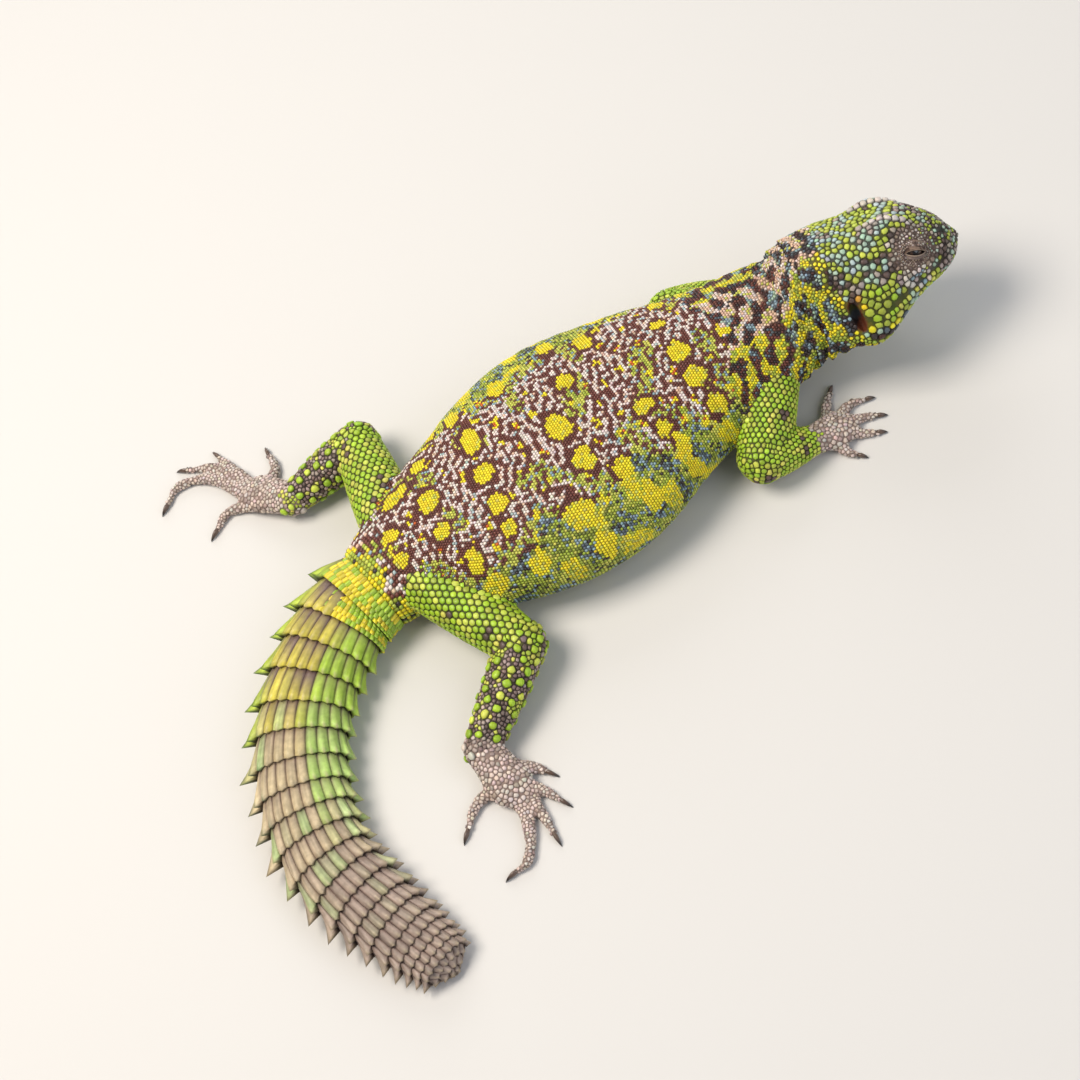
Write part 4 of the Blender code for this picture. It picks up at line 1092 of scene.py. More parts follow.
def trunkPaint(t, w, points, draw):
    # brown back with a maze of pale beads, turning green, yellow and slate on the flanks; yellow eye-spots,
    # each with a dark rim; cream underneath and yellow-green grains at the root of the tail
    out = step01(12, 28, np.abs(w) + 9 * wobble(points, 7, 8))
    ragged = 0.22 * (draw - 0.5)
    maze = waveField(t, w, spotLook["maze"], 1.0, 4)
    ground = mix(paints["brown"], paints["night"], step01(0.6, 1.0, out))
    green = step01(0.35, 0.62, out + 0.5 * wobble(points, 4.5, 14) + ragged)
    green = np.maximum(green, waveField(t, w, 15, 1.3, 17) + 0.04 * np.abs(w) + ragged > 1.3)
    line = over(pick(draw, pink=0.8, ice=0.88, peach=1),
                pick(draw, straw=0.6, moss=0.85, blue=1), green)
    line = over(line, pick(draw, yellow=0.88, orange=1), waveField(t, w, 4.5, 1.5, 23) > 1.3)
    colour = over(ground, line, maze + 0.5 * out + 0.4 * green + 0.35 * ragged > 0.02)
    cloud = waveField(t, w, 9.5, 1.5, 9) + 2.4 * ragged
    beads = pick(draw, moss=0.42, straw=0.66, olive=0.84, blue=0.93, night=1)
    beads = over(beads, pick(draw, yellow=0.62, straw=0.86, moss=1), cloud > 0.9)
    dull = waveField(t, w, 8.5, 1.3, 12) + 2 * ragged
    beads = over(beads, pick(draw, slate=0.3, blue=0.58, night=0.72, olive=0.88, moss=1),
                 (dull > 0.5) & (cloud < 0.9))
    colour = over(colour, beads, out + ragged + 0.35 * wobble(points, 3.2, 15) > 0.78)
    for t0, w0, longHalf, wideHalf in eyeSpots:
        shape = np.hypot((t - t0) / longHalf, (w - w0) / wideHalf) / spotLook["larger"]
        shape += spotLook["ragged"] * wobble(points, spotLook["raggedSize"], 21) * 2
        colour = over(colour, ground * 0.9, (shape < spotLook["rim"]) & (shape > 1.0) & (out < 0.75))
        colour = over(colour, pick(draw, yellow=0.9, straw=1), shape <= 1.0)
    root = pick(draw, yellow=0.42, moss=0.75, lime=0.9, night=1)
    colour = over(colour, root, t + 7 * wobble(points, 5, 26) < 3.4)
    under = step01(3.4, 1.2, points[:, 2] + draw)
    return mix(colour, paints["belly"] * (0.8 + 0.3 * draw)[:, None], under * 0.9)


def neckPaint(t, w, points, draw):
    # broad wandering patches, peach on the nape, yellow at the sides and moss below,
    # parted by black and slate beads
    field = waveField(t + 0.25 * np.abs(w), w, 4.3, 1.8, 31) + 0.5 * (draw - 0.5)
    top = np.abs(w) + 8 * wobble(points, 5, 32)
    patch = over(pick(draw, peach=0.6, pink=0.85, straw=1),
                 pick(draw, yellow=0.52, straw=0.76, moss=1), top > 9)
    patch = over(patch, pick(draw, moss=0.6, yellow=1), top > 24)
    dark = over(pick(draw, night=0.2, brown=0.55, rim=0.9, slate=1),
                pick(draw, night=0.45, rim=0.6, slate=0.8, blue=1),
                t + 0.3 * np.abs(w) + 12 * wobble(points, 5, 37) > trunkLong + 7)
    grey = waveField(t, w, 5.2, 1.6, 35) + 0.4 * (draw - 0.5) > 0.85
    dark = over(dark, pick(draw, mist=0.35, blue=0.7, slate=1), grey)
    return over(dark, patch, field > 0.02)


def headPaint(points, draw, nape):
    # each plate takes one of its region's paints: crown, temple, round the eye, jaw, snout, under the eye,
    # cheek, before the ear, the nape's own behind the head, and brow
    p = headLocal(points)
    x, side, z = p[:, 0], np.abs(p[:, 1]), p[:, 2]
    shift = 3 * wobble(points, 2.6, 42)
    tone = np.clip(0.6 * valueNoise(points, 3.4, 41) + 0.62 * draw - 0.1, 0, 1)
    colour = pick(tone, moss=0.36, lime=0.5, mist=0.68, ice=0.78, stone=0.92, umber=1)
    temple = (z < 9 + shift) & (side > 7) & (x < 4)
    grey = pick(draw, moss=0.22, mist=0.4, ice=0.5, stone=0.78, umber=1)
    colour = over(colour, grey, temple)
    around = np.hypot((x - eye["at"][0]) / 7.0, (z - eye["at"][2] - 0.8) / 6.0) + 0.06 * shift < 1
    orbit = pick(draw, umber=0.2, lid=0.5, stone=0.78, chalk=0.92, moss=1)
    colour = over(colour, orbit, around & (side > 5))
    jaw = z < -1.5 + shift
    colour = over(colour, pick(tone, moss=0.45, mist=0.66, straw=0.82, yellow=0.9, umber=1), jaw)
    snout = x > 12.2 + shift
    colour = over(colour, pick(draw, stone=0.4, umber=0.6, mist=0.82, moss=1), snout)
    under = ((x - 6.5) / 4.5) ** 2 + ((z + 2.0) / 2.4) ** 2 + 0.2 * shift < 1
    colour = over(colour, pick(draw, chalk=0.45, stone=0.7, blue=0.85, moss=1), under & (side > 7))
    cheek = ((x + 3.6) / 3.8) ** 2 + ((z + 2.4) / 5.0) ** 2 + 0.15 * shift < 1
    colour = over(colour, pick(draw, moss=0.4, leaf=0.74, lime=0.92, mist=1), cheek & (side > 8))
    front = (x > ear["at"][0] + 0.8) & (x < ear["at"][0] + 3.0) & (np.abs(z - ear["at"][2]) < 4.6) & (side > 9)
    colour = over(colour, pick(draw, ember=0.45, yellow=0.8, straw=1), front)
    behind = (x < -11.6 + 0.4 * shift) | ((z < -8.2) & (x < 1))
    colour = over(colour, nape, behind)
    brow = (np.abs(side - 5.7) < 1.1) & (z > 9) & (x > -1.5) & (x < 10.6)
    return over(colour, pick(draw, chalk=0.8, stone=1), brow)


def limbPaint(label, name, points, draw):
    # leaf-green and lime plates above, mauve and pale grains with green tubercles on
    # the shank, pale hands and feet
    broad = valueNoise(points, 5.0, 52)
    colour = pick(draw, leaf=0.6, lime=0.92, moss=1)
    colour = over(colour, pick(draw, umber=0.5, moss=0.85, straw=1), broad + 0.2 * draw > 0.84)
    low = points[:, 2] + 2 * (broad - 0.5) < 3.4
    colour = over(colour, pick(draw, belly=0.5, straw=0.8, umber=1), low)
    lower = np.char.startswith(label, "lower")
    shank = lower & (np.char.find(label, "hind") >= 0)
    grains = pick(draw, mauve=0.46, handDark=0.74, umber=0.88, straw=1)
    grains = over(grains, pick(draw, moss=0.6, straw=1), broad > 0.68)
    colour = over(colour, grains, shank & (name != "tubercle"))
    colour = over(colour, pick(draw, leaf=0.7, lime=1), name == "tubercle")
    return over(colour, pick(draw, hand=0.6, handDark=0.85, chalk=1), isEnd(label))


def markings(label, name, t, w, points, draw):
    # limb colours everywhere, then those of the trunk, neck, head and lids on their own scales
    colour, nape = limbPaint(label, name, points, draw), neckPaint(t, w, points, draw)
    front = t + 9 * wobble(points, 6, 71) > 104 + 0.25 * (18 - np.abs(w))
    body = over(trunkPaint(t, w, points, draw), nape, front & (points[:, 2] > 2))
    for part, made in (("trunk", body), ("neck", nape), ("head", headPaint(points, draw, nape))):
        colour = over(colour, made, label == part)
    return over(colour, pick(draw, lid=0.4, stone=0.7, umber=0.9, chalk=1), name == "lid")


# the scales
scaleLook = {  # mm: depth of the rim, height over the skin, seam between scales; sides and rings of each bead
    "deep": 0.3, "tilt": 0.12,
    "height": {"trunk": 0.28, "neck": 0.3, "head": 0.3, "upper": 0.26, "lower": 0.28, "palm": 0.28,
               "digit": 0.26},
    "gap": {"trunk": 0.10, "neck": 0.12, "head": 0.3, "upper": 0.26, "lower": 0.2, "palm": 0.14, "digit": 0.12},
    "tubercle": (0.52, 0.26), "brow": (0.5, 0.2), "lid": (0.16, 0.08),
    "bead": (6, ((0.9, -1), (0.96, 0.55))), "plate": (8, ((0.94, -1), (0.97, 0.5), (0.74, 0.94))),
    "seam": {"bead": (0.42, 0.88), "plate": (0.22, 0.72)},  # painted shade: how dark each scale's sunk rim and shoulder are, so the scale darkens round its edge into its seam
}


def byLabel(values, labels, names):
    # the value of each scale's region, unless its planting has its own
    made = np.zeros(len(labels))
    for name, value in scaleLook[values].items():
        made = np.where(np.char.startswith(labels, name), value, made)
    for name in ("tubercle", "brow", "lid"):
        made = np.where(names == name, scaleLook[name][0 if values == "height" else 1], made)
    return made


near, nearGap, nearOffset = neighbours(seeds, 10)


def cellRadii(chosen, sides, turned):
    # distance from each scale's middle to its cell's edge in each direction: the least over its neighbours of
    # (its share of the distance to the neighbour) / cos(angle between), capped at 0.72 of the pitch
    side = np.cross(normals[chosen], turned)
    offset, pitch = nearOffset[chosen], seedPitch[chosen]
    u, v = (offset * turned[:, None]).sum(-1), (offset * side[:, None]).sum(-1)
    to = np.arctan2(v, u)
    share = nearGap[chosen] * pitch[:, None] / (pitch[:, None] + seedPitch[near[chosen]])
    directions = np.arange(sides) * 2 * math.pi / sides
    cosine = np.cos(directions[None, :, None] - to[:, None, :])
    reach = np.where(cosine > 0.15, share[:, None, :] / np.maximum(cosine, 0.15), 9.0).min(axis=2)
    return np.minimum(reach, 0.72 * pitch[:, None]), directions, side


def aheadOf(points, labels):
    # the direction towards the head or, on a limb, towards its root
    ahead = np.tile(np.array([1.0, 0, 0]), (len(points), 1))
    ahead[labels == "head"] = headAxes[0]
    for name, limb in limbs.items():
        for i, part in enumerate(("upper", "lower", "palm", "digit")):
            j = min(i, 2)
            ahead[labels == part + name] = unit(np.subtract(limb["joints"][j], limb["joints"][j + 1]))
    return ahead


ahead = aheadOf(seeds, seedLabels)
ahead = unit(ahead - (ahead * normals).sum(1)[:, None] * normals)
draw = np.random.default_rng(77)
seedDraw = draw.random(len(seeds))
seedColours = markings(seedLabels, seedNames, seedT, seedW, seeds, seedDraw)
seedColours = seedColours * draw.normal(1, 0.10, len(seeds))[:, None] * draw.normal(1, 0.035, (len(seeds), 3))
heights = byLabel("height", seedLabels, seedNames) * np.clip(seedPitch / 1.1, 0.75, 1.3)
gaps = byLabel("gap", seedLabels, seedNames)


def bakeMap(mesh, uv):
    # the map of the bake, from one place for each point
    layer = mesh.uv_layers.new(name="OFBake")
    corner = np.empty(len(mesh.loops), np.int32)
    mesh.loops.foreach_get("vertex_index", corner)
    layer.data.foreach_set("uv", uv[corner].astype(np.float32).ravel())


def atlasOf(labels, t, w, points):
    # an unwrap: length and arc on the body, and each limb seen from above in a field of its own
    u = 0.02 + 0.72 * t / bodyLong
    v = 0.5 + w / 175
    for n, name in enumerate(limbs):
        mine = np.char.endswith(labels, name)
        base = points[mine] - np.array(limbs[name]["joints"][1])
        u[mine] = 0.76 + 0.11 * (n % 2) + 0.05 + base[:, 0] / 900
        v[mine] = 0.25 + 0.5 * (n // 2) + base[:, 1] / 200 + base[:, 2] / 1800
    return np.stack([np.clip(u, 0.005, 0.995), np.clip(v, 0.005, 0.995)], -1)


def repeatedMesh(name, verts, corners, sizes):
    # one mesh of many small pieces, each with its own row of points and the same faces: corners run face by
    # face and sizes says how many each has
    count, per = verts.shape[:2]
    loops = (corners + (np.arange(count) * per)[:, None]).ravel()
    sizes = np.tile(sizes, count)
    mesh = bpy.data.meshes.new(name)
    mesh.vertices.add(count * per)
    mesh.vertices.foreach_set("co", place(verts.reshape(-1, 3)).ravel())
    mesh.loops.add(len(loops))
    mesh.loops.foreach_set("vertex_index", loops.astype(np.int32))
    mesh.polygons.add(len(sizes))
    mesh.polygons.foreach_set("loop_start", np.concatenate([[0], np.cumsum(sizes)[:-1]]).astype(np.int32))
    mesh.polygons.foreach_set("loop_total", sizes.astype(np.int32))
    mesh.update(calc_edges=True)
    mesh.validate()
    return mesh


def coatMesh(name, chosen, sides, rings, seam):
    # each scale is a closed bead on its cell's outline: a sunk rim, one or two rings that round it over,
    # and a top point set a little to the rear
    c, n, f = seeds[chosen], normals[chosen], ahead[chosen]
    r, directions, s = cellRadii(chosen, sides, f)
    r, h = np.maximum(r - gaps[chosen][:, None] / 2, 0.12), heights[chosen]
    count = len(chosen)
    ring = np.cos(directions)[None, :, None] * f[:, None] + np.sin(directions)[None, :, None] * s[:, None]
    levels = []
    for share, rise in rings:
        lift = np.where(rise < 0, -scaleLook["deep"], rise * h)
        levels.append(c[:, None] + ring * (r * share)[..., None] + (n * lift[:, None])[:, None])
    top = c + n * h[:, None] - f * (r.mean(1) * scaleLook["tilt"])[:, None]
    verts = np.concatenate(levels + [top[:, None]], axis=1)
    verts[..., 2] = np.maximum(verts[..., 2], 0.0)
    last, per = len(rings) - 1, len(rings) * sides + 1
    i = np.arange(sides)
    j = (i + 1) % sides
    rows = [(k * sides, (k + 1) * sides) for k in range(last)]
    quads = np.concatenate([np.stack([low + i, low + j, high + j, high + i], -1) for low, high in rows])
    fans = np.stack([last * sides + i, last * sides + j, np.full(sides, per - 1)], -1)
    corners = np.concatenate([quads.ravel(), fans.ravel(), i[::-1]])
    mesh = repeatedMesh(name, verts, corners, [4] * len(quads) + [3] * sides + [sides])
    tint = np.repeat(seedColours[chosen][:, None], per, axis=1)
    # painted shade round each scale: its sunk rim and its shoulder ring are darkened towards the dark hide of
    # the seam
    tint[:, :sides] *= seam[0]
    tint[:, sides:2 * sides] *= seam[1]
    paint(mesh, tint.reshape(-1, 3))
    spread = np.concatenate([np.repeat(np.linspace(1, 0.7, len(rings)), sides), [0]])
    turn = np.concatenate([np.tile(directions, len(rings)), [0]])
    root = atlasOf(seedLabels[chosen], seedT[chosen], seedW[chosen], c)
    uv = root[:, None] + 0.0015 * np.stack([np.cos(turn) * spread, np.sin(turn) * spread], -1)[None]
    bakeMap(mesh, uv.reshape(-1, 2))
    mesh.shade_smooth()
    return mesh, count * (2 * sides * last + 2 * sides - 2)


coatPieces = {"coatTrunk": (seedLabels == "trunk", 5, "dorsal_skin", "bead"),
              "coatNeck": (seedLabels == "neck", 1, "dorsal_skin", "bead"),
              "coatHead": (seedLabels == "head", 1, "green_skin", "plate")}
for name in limbs:
    legs, ends = np.char.endswith(seedLabels, name), isEnd(seedLabels)
    title = name[0].upper() + name[1:]
    coatPieces["coat" + title] = (legs & ~ends, 1, "green_skin", "plate")
    coatPieces["coatEnd" + title] = (legs & ends, 1, "pale_skin", "plate")
triangles = 0
for name, (chosen, split, slot, bead) in coatPieces.items():
    where = np.flatnonzero(chosen)
    where = where[np.argsort(seedT[where], kind="stable")]
    for number, share in enumerate(np.array_split(where, split)):
        mesh, added = coatMesh(name, share, *scaleLook[bead], scaleLook["seam"][bead])
        newPiece(f"{name}{number + 1}", mesh, beadKeratin)
        triangles += added
        print("coat piece", name, number + 1, "triangles", added)
print("coat triangles:", triangles)

# skin colour and its CAD nodes
nearSeed = nearestIndex(treeOf(seeds), skinPoints)
soft = (skinLabels == "trunk") | (skinLabels == "neck")
hides = palette(seam="#2a1a15", pale="#8b776d", tail="#54423a", ear="#5c2a10", orbit="#6a584c")
skinTint = seedColours[nearSeed] * np.where(soft, 0.3, 0.13)[:, None] + hides["seam"] * 0.5
skinTint = np.where(isEnd(skinLabels)[:, None], hides["pale"], skinTint)
skinTint = np.where((skinLabels == "tail")[:, None], hides["tail"], skinTint)
skinLocal = headLocal(skinPoints)
for side in (1, -1):
    inEar = (((skinLocal - onSide(ear["at"], side)) / (np.array(ear["size"]) + 0.1)) ** 2).sum(1) < 1.02
    skinTint = np.where(inEar[:, None], hides["ear"], skinTint)
    fromEye = np.linalg.norm(skinLocal - onSide(eye["at"], side), axis=1)
    skinTint = mix(skinTint, hides["orbit"], step01(8.0, 4.5, fromEye) * 0.8)
paint(skinMesh, skinTint)
skinMesh.shade_smooth()
skin = newPiece("skin", skinMesh, foldedHide)
fleshNodes = [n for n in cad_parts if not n.startswith(("claw", "eye"))]
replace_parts(skin, *fleshNodes)
print("skin and coat done")

# eyes and lids
eyePaints = palette(iris="#4a3020", pupil="#0d0705", rim="#1c100c")
# edge is the colour of a painted highlight along the slit, inside that of painted shade in the slit
lidPaints = palette(dark="#4a372d", light="#8d7767", under="#86756c", edge="#bfa88e", inside="#20120d")


def eyeBall(name, side):
    # a ball with rings about the outward axis: dark pupil, brown iris, darker rim
    axes = eyeAxes(side)
    centre = headPlace(onSide(eye["at"], side))
    polar = np.linspace(0.02, math.pi - 0.02, 32)
    turn = circle(40)
    bulge = 1 + 0.05 * np.exp(-(polar / 0.5) ** 2)
    spoke = np.cos(turn)[None, :, None] * axes[0] + np.sin(turn)[None, :, None] * axes[2]
    grid = centre + eye["radius"] * 0.985 * bulge[:, None, None] * (
        np.cos(polar)[:, None, None] * axes[1] + np.sin(polar)[:, None, None] * spoke)
    mesh = tubeMesh(name, place(grid))
    off = coordinates(mesh) / mm + middle - centre
    angle = np.arccos(np.clip((unit(off) @ axes[1]), -1, 1))
    tint = mix(eyePaints["iris"], eyePaints["pupil"], step01(0.34, 0.26, angle))
    tint = mix(tint, eyePaints["rim"], step01(0.55, 0.75, angle))
    paint(mesh, tint)
    mesh.shade_smooth()
    return newPiece(name, mesh, wetEye)


for side, word in ((1, "left"), (-1, "right")):
    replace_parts(eyeBall("eyeball." + word, side), "eye_" + word)


def lidPiece(name, side):
    # the lid's grid with a few rows tucked in behind the slit's edge, tinted in rings, with a painted highlight
    # along the slit's edge and painted shade on the rows tucked in behind it
    turn = circle(lidLook["turns"])
    r = np.concatenate([[0, 0.012, 0.03, 0.05, 0.075], np.linspace(0.1, 1, lidLook["rings"])])
    outside = lidGrid(side, r[:, None], turn[None, :])
    centre = headPlace(onSide(eye["at"], side))
    edge = outside[0] - centre
    tucked = [centre + unit(edge) * (eye["radius"] + high) for high in (0.04, 0.25)]
    grid = np.concatenate([np.array(tucked), outside])
    rows, sides = grid.shape[:2]
    mesh = bpy.data.meshes.new(name)
    mesh.from_pydata(place(grid).reshape(-1, 3).tolist(), [], gridFaces(rows, sides).tolist())
    form = bmesh.new()
    form.from_mesh(mesh)
    form.normal_update()
    form.faces.ensure_lookup_table()
    probe = form.faces[len(form.faces) // 2]
    if probe.normal.dot(Vector(eyeAxes(side)[1])) < 0:
        bmesh.ops.reverse_faces(form, faces=form.faces)
    form.to_mesh(mesh)
    form.free()
    ringAt = np.concatenate([[0, 0], r])[:, None] + 0 * turn[None, :]
    grain = valueNoise(grid.reshape(-1, 3), 0.7, 61).reshape(rows, sides)
    tint = mix(lidPaints["dark"], lidPaints["light"], step01(0.35, 0.7, grain))
    lower = (np.sin(turn)[None, :] < 0) * step01(0.5, 0.3, ringAt)
    tint = mix(tint, lidPaints["under"], lower * 0.8)
    # painted highlight: a pale band along the slit's edge, strong on the lower lid and faint on the upper one
    pale = np.where(np.sin(turn)[None, :] < 0, 0.75, 0.3)
    tint = mix(tint, lidPaints["edge"], np.exp(-(((ringAt - 0.07) / 0.04) ** 2)) * pale)
    # painted shade: the rows tucked in behind the slit's edge and the slit's rim go near black
    tint = mix(tint, lidPaints["inside"], step01(0.03, 0.0, ringAt))
    paint(mesh, tint.reshape(-1, 3))
    mesh.shade_smooth()
    return newPiece(name, mesh, foldedHide)


for side, word in ((1, "left"), (-1, "right")):
    lidPiece("lids." + word, side)
print("eyes done")

# claws
claw = {"rings": 16, "sides": 14, "wide": 0.62, "tall": 0.9, "bend": 1.4, "least": 0.02}
clawPaints = palette(base="#5e4a3e", point="#1e1612")


def clawPiece(name, points, kind):
    # rings along a curve that bends down by the drop angle, each an upright oval drawn in to a point
    last, before = np.array(points[-1], float), np.array(points[-2], float)
    heading = np.array([*unit(last - before), 0])
    base = digitShape[kind][2] * 0.9
    longClaw = digitShape["clawHand" if kind == "hand" else "clawFoot"]
    p = np.linspace(-0.25, 1, claw["rings"])
    bend = np.radians(digitShape["drop"]) * np.clip(p, 0, 1) * claw["bend"]
    centre = np.array([*last, base]) + (0.3 + longClaw * p)[:, None] * (
        heading * np.cos(bend)[:, None] - np.array([0, 0, 0.42]) * np.sin(bend)[:, None])
    share = np.where(p < 0, 0.85, (1 - np.clip(p, 0, 1) ** 1.3) * 0.95 + 0.03)
    a = circle(claw["sides"])
    side = np.array([-heading[1], heading[0], 0])
    grid = (centre[:, None] + np.cos(a)[None, :, None] * side * (base * claw["wide"] * share)[:, None, None]
            + np.sin(a)[None, :, None] * np.array([0, 0, 1.0]) * (base * claw["tall"] * share)[:, None, None])
    grid[..., 2] = np.maximum(grid[..., 2], claw["least"])
    mesh = tubeMesh(name, place(grid))
    along = np.repeat(np.clip(p, 0, 1), claw["sides"])
    paint(mesh, mix(clawPaints["base"], clawPaints["point"], step01(0.1, 0.8, along)))
    mesh.shade_smooth()
    return newPiece(name, mesh, clawHorn)


for limbName, limb in limbs.items():
    kind, word = limb["end"][:4], limb["end"][4:].lower()
    for number, points in enumerate(digits[limb["end"]], 1):
        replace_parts(clawPiece(f"claw.{kind}.{word}.{number}", points, kind), f"claw_{kind}_{word}_{number}")
print("claws done")

# tail plates
plate = {"pitch": 3.3, "across": 7, "along": 6, "thick": 0.9, "keel": 0.32, "rim": 1.05, "front": 0.95,
         "out": (0.5, 1.6, 4.4), "back": (0.7, 1.0), "grain": 1.5, "bevel": 0.26, "tuck": 0.3, "lap": 0.3,
         "grows": (0.72, -0.05), "low": (0.12, 0.15), "ends": (0.25, 0.05), "least": 0.72, "tipPitch": 1.9,
         "tipSize": 0.35,
         "tip": ((-0.4, 1.2, (0.94, 0.72)), (0.9, 2.2, (0.74, 0.34)), (1.9, 2.7, (0.36, 0.04)))}
plateMap = {"across": (0.02, 0.96), "plates": (0.02, 0.76), "grains": (0.8, 0.18), "top": (0.03, 0.75),
            "under": (0.82, 0.06), "edge": (0.92, 0.98)}  # where each strip starts, and its width or its end
tailPaints = palette(gold="#cfc244", sun="#e6d42a", leaf="#a0c232", plum="#6f5a56", teal="#3c6a4c",
                     tan="#c6b48e", grey="#9d8b7d", mint="#aac77e", shade="#3a2a26")
fineTurn = np.linspace(0, 2 * math.pi, 361)


def tailCells():
    # one entry for each plate: front and rear length, middle and half-width round the section in mm, girth,
    # share of the section at front and rear, how far its point stands out and back, whether it is a grain, and
    # its ring and place round the ring on the unwrap
    draw = random.Random(19)
    cells, ringCount = [], {True: 0, False: 0}  # grains and large plates are counted apart

    def ringOf(i, front, rear, pitch, shares, size, small):
        # adds the plates of one ring, a pitch apart round its rear rim
        ring = tailPoint(np.full(361, min(rear, whorlEnds[-1])), fineTurn, shares[1])
        run = runAlong(ring)
        count = max(int(round(run[-1] / pitch)), 8)
        ringNumber = ringCount[small]
        ringCount[small] += 1
        shift = draw.random() if small else 0.0  # one large plate points straight out at the side
        for k in range(count):
            middle = (k + shift) * run[-1] / count
            mid = float(np.interp(middle % run[-1], run, fineTurn))
            cosine, sine = math.cos(mid), math.sin(mid)
            reach = cosine - plate["grows"][i] if i < 2 else 1.0  # above 0 where large plates grow
            if small and reach > plate["lap"] or not small and reach < 0:
                continue
            late = float(step01(40, 90, whorlEnds[i]))  # towards the tip every plate has a point
            most = plate["out"][2] if cosine > 0 else plate["out"][1] * (1 + 0.7 * late)
            narrow = 18 if cosine > 0 else 5  # how soon the points fall off from the side
            stand = np.interp(abs(cosine) ** narrow, (0, 1), (plate["out"][0] + 0.7 * late, most))
            behind = np.interp(abs(cosine) ** 2, (0, 1), plate["back"]) * (1 + 0.6 * late)
            if sine < -0.35 or small:
                stand, behind = plate["low"]
            low = plate["tuck"] if small and reach > 0 else 0.0  # grains tucked under the plates' edges
            vary = draw.uniform(0.8, 1.15) * size
            cells.append({"front": front, "rear": rear, "middle": middle, "half": run[-1] / count / 2,
                          "run": run, "shares": shares, "out": stand * vary, "back": behind * vary, "mid": mid,
                          "small": small, "size": size, "low": low, "draw": draw.random(), "ring": ringNumber,
                          "slot": (k + 0.5) / count, "slotHalf": 0.45 / count})

    for i, long in enumerate(tail["whorls"]):
        size = float(through(tail["at"], tail["wide"], whorlEnds[i + 1])) / tail["wide"][1]
        pitch, shares = plate["pitch"] * max(size, plate["least"]), (plate["front"], plate["rim"])
        front, rear = whorlEnds[i] - plate["ends"][0], whorlEnds[i + 1] - plate["ends"][1]
        ringOf(i, front, rear, pitch, shares, size, False)
        if i < 2:
            rows = int(long / plate["grain"])
            for row in range(rows):
                shares = [plate["front"] + (plate["rim"] - plate["front"]) * (row + v) / rows for v in (0, 1)]
                front, rear = whorlEnds[i] + long * row / rows - 0.1, whorlEnds[i] + long * (row + 1) / rows
                ringOf(i, front, rear, plate["grain"], shares, 1.0, True)
    last, tip = len(tail["whorls"]) - 1, whorlEnds[-1]
    for front, rear, shares in plate["tip"]:
        ringOf(last, tip + front, tip + rear, plate["tipPitch"], shares, plate["tipSize"], False)
    return cells, ringCount


def tailPlates(cells):
    # each plate is a surface of u across, -1 to 1, and v along, 0 to 1: it rises with v to its
    # rear rim, carries a low keel of (1 - |u|)^1.3, and its rim is drawn out behind and
    # outwards to a point, most at the sides
    u = np.linspace(-1, 1, plate["across"])[None, :]
    v = np.linspace(0, 1, plate["along"])[:, None]
    top = float(sum(tail["whorls"]))
    border = plateBorder()
    plates, tints = [], []
    for cell in cells:
        run = cell["run"]
        at = (cell["middle"] + u * cell["half"] * 0.985 + 0 * v) % run[-1]
        a = np.interp(at, run, fineTurn)
        tipShare = np.clip(1 - np.abs(u), 0, 1) ** (1.25 + 0.6 * abs(math.cos(cell["mid"])) ** 5) * v**2.6
        length = cell["front"] + (cell["rear"] - cell["front"]) * v + cell["back"] * tipShare
        share = cell["shares"][0] + (cell["shares"][1] - cell["shares"][0]) * v + 0 * u
        point = tailPoint(length, a, share)
        _, left, wide, tall = tailFrame(length)
        rise = np.array([0, 0, 1.0]) * (np.sin(a) / tall)[..., None]
        outward = unit(left * (np.cos(a) / wide)[..., None] + rise)
        visible = math.sin(cell["mid"]) > -0.35
        keel = plate["keel"] * cell["size"] * (1 - np.abs(u)) ** 1.3 * np.clip(v * 1.3, 0, 1) * visible
        bevel = plate["bevel"] * (np.abs(u) ** 8 + 0.6 * v**14 + 0.5 * (1 - v) ** 8)
        upper = point + outward * (keel + cell["out"] * tipShare - bevel - cell["low"])[..., None]
        under = point - outward * (plate["thick"] * min(1.0, cell["size"] + 0.2))
        for surface in (upper, under):
            surface[..., 2] = np.maximum(surface[..., 2], 0.0)
        plates.append(np.concatenate([upper.reshape(-1, 3), under.reshape(-1, 3)[border]]))
        shown = plateTint(cell, u, v, tipShare, cell["rear"] / top)
        tints.append(np.concatenate([shown, np.tile(tailPaints["shade"], (len(border), 1))]))
    return np.array(plates), np.array(tints)


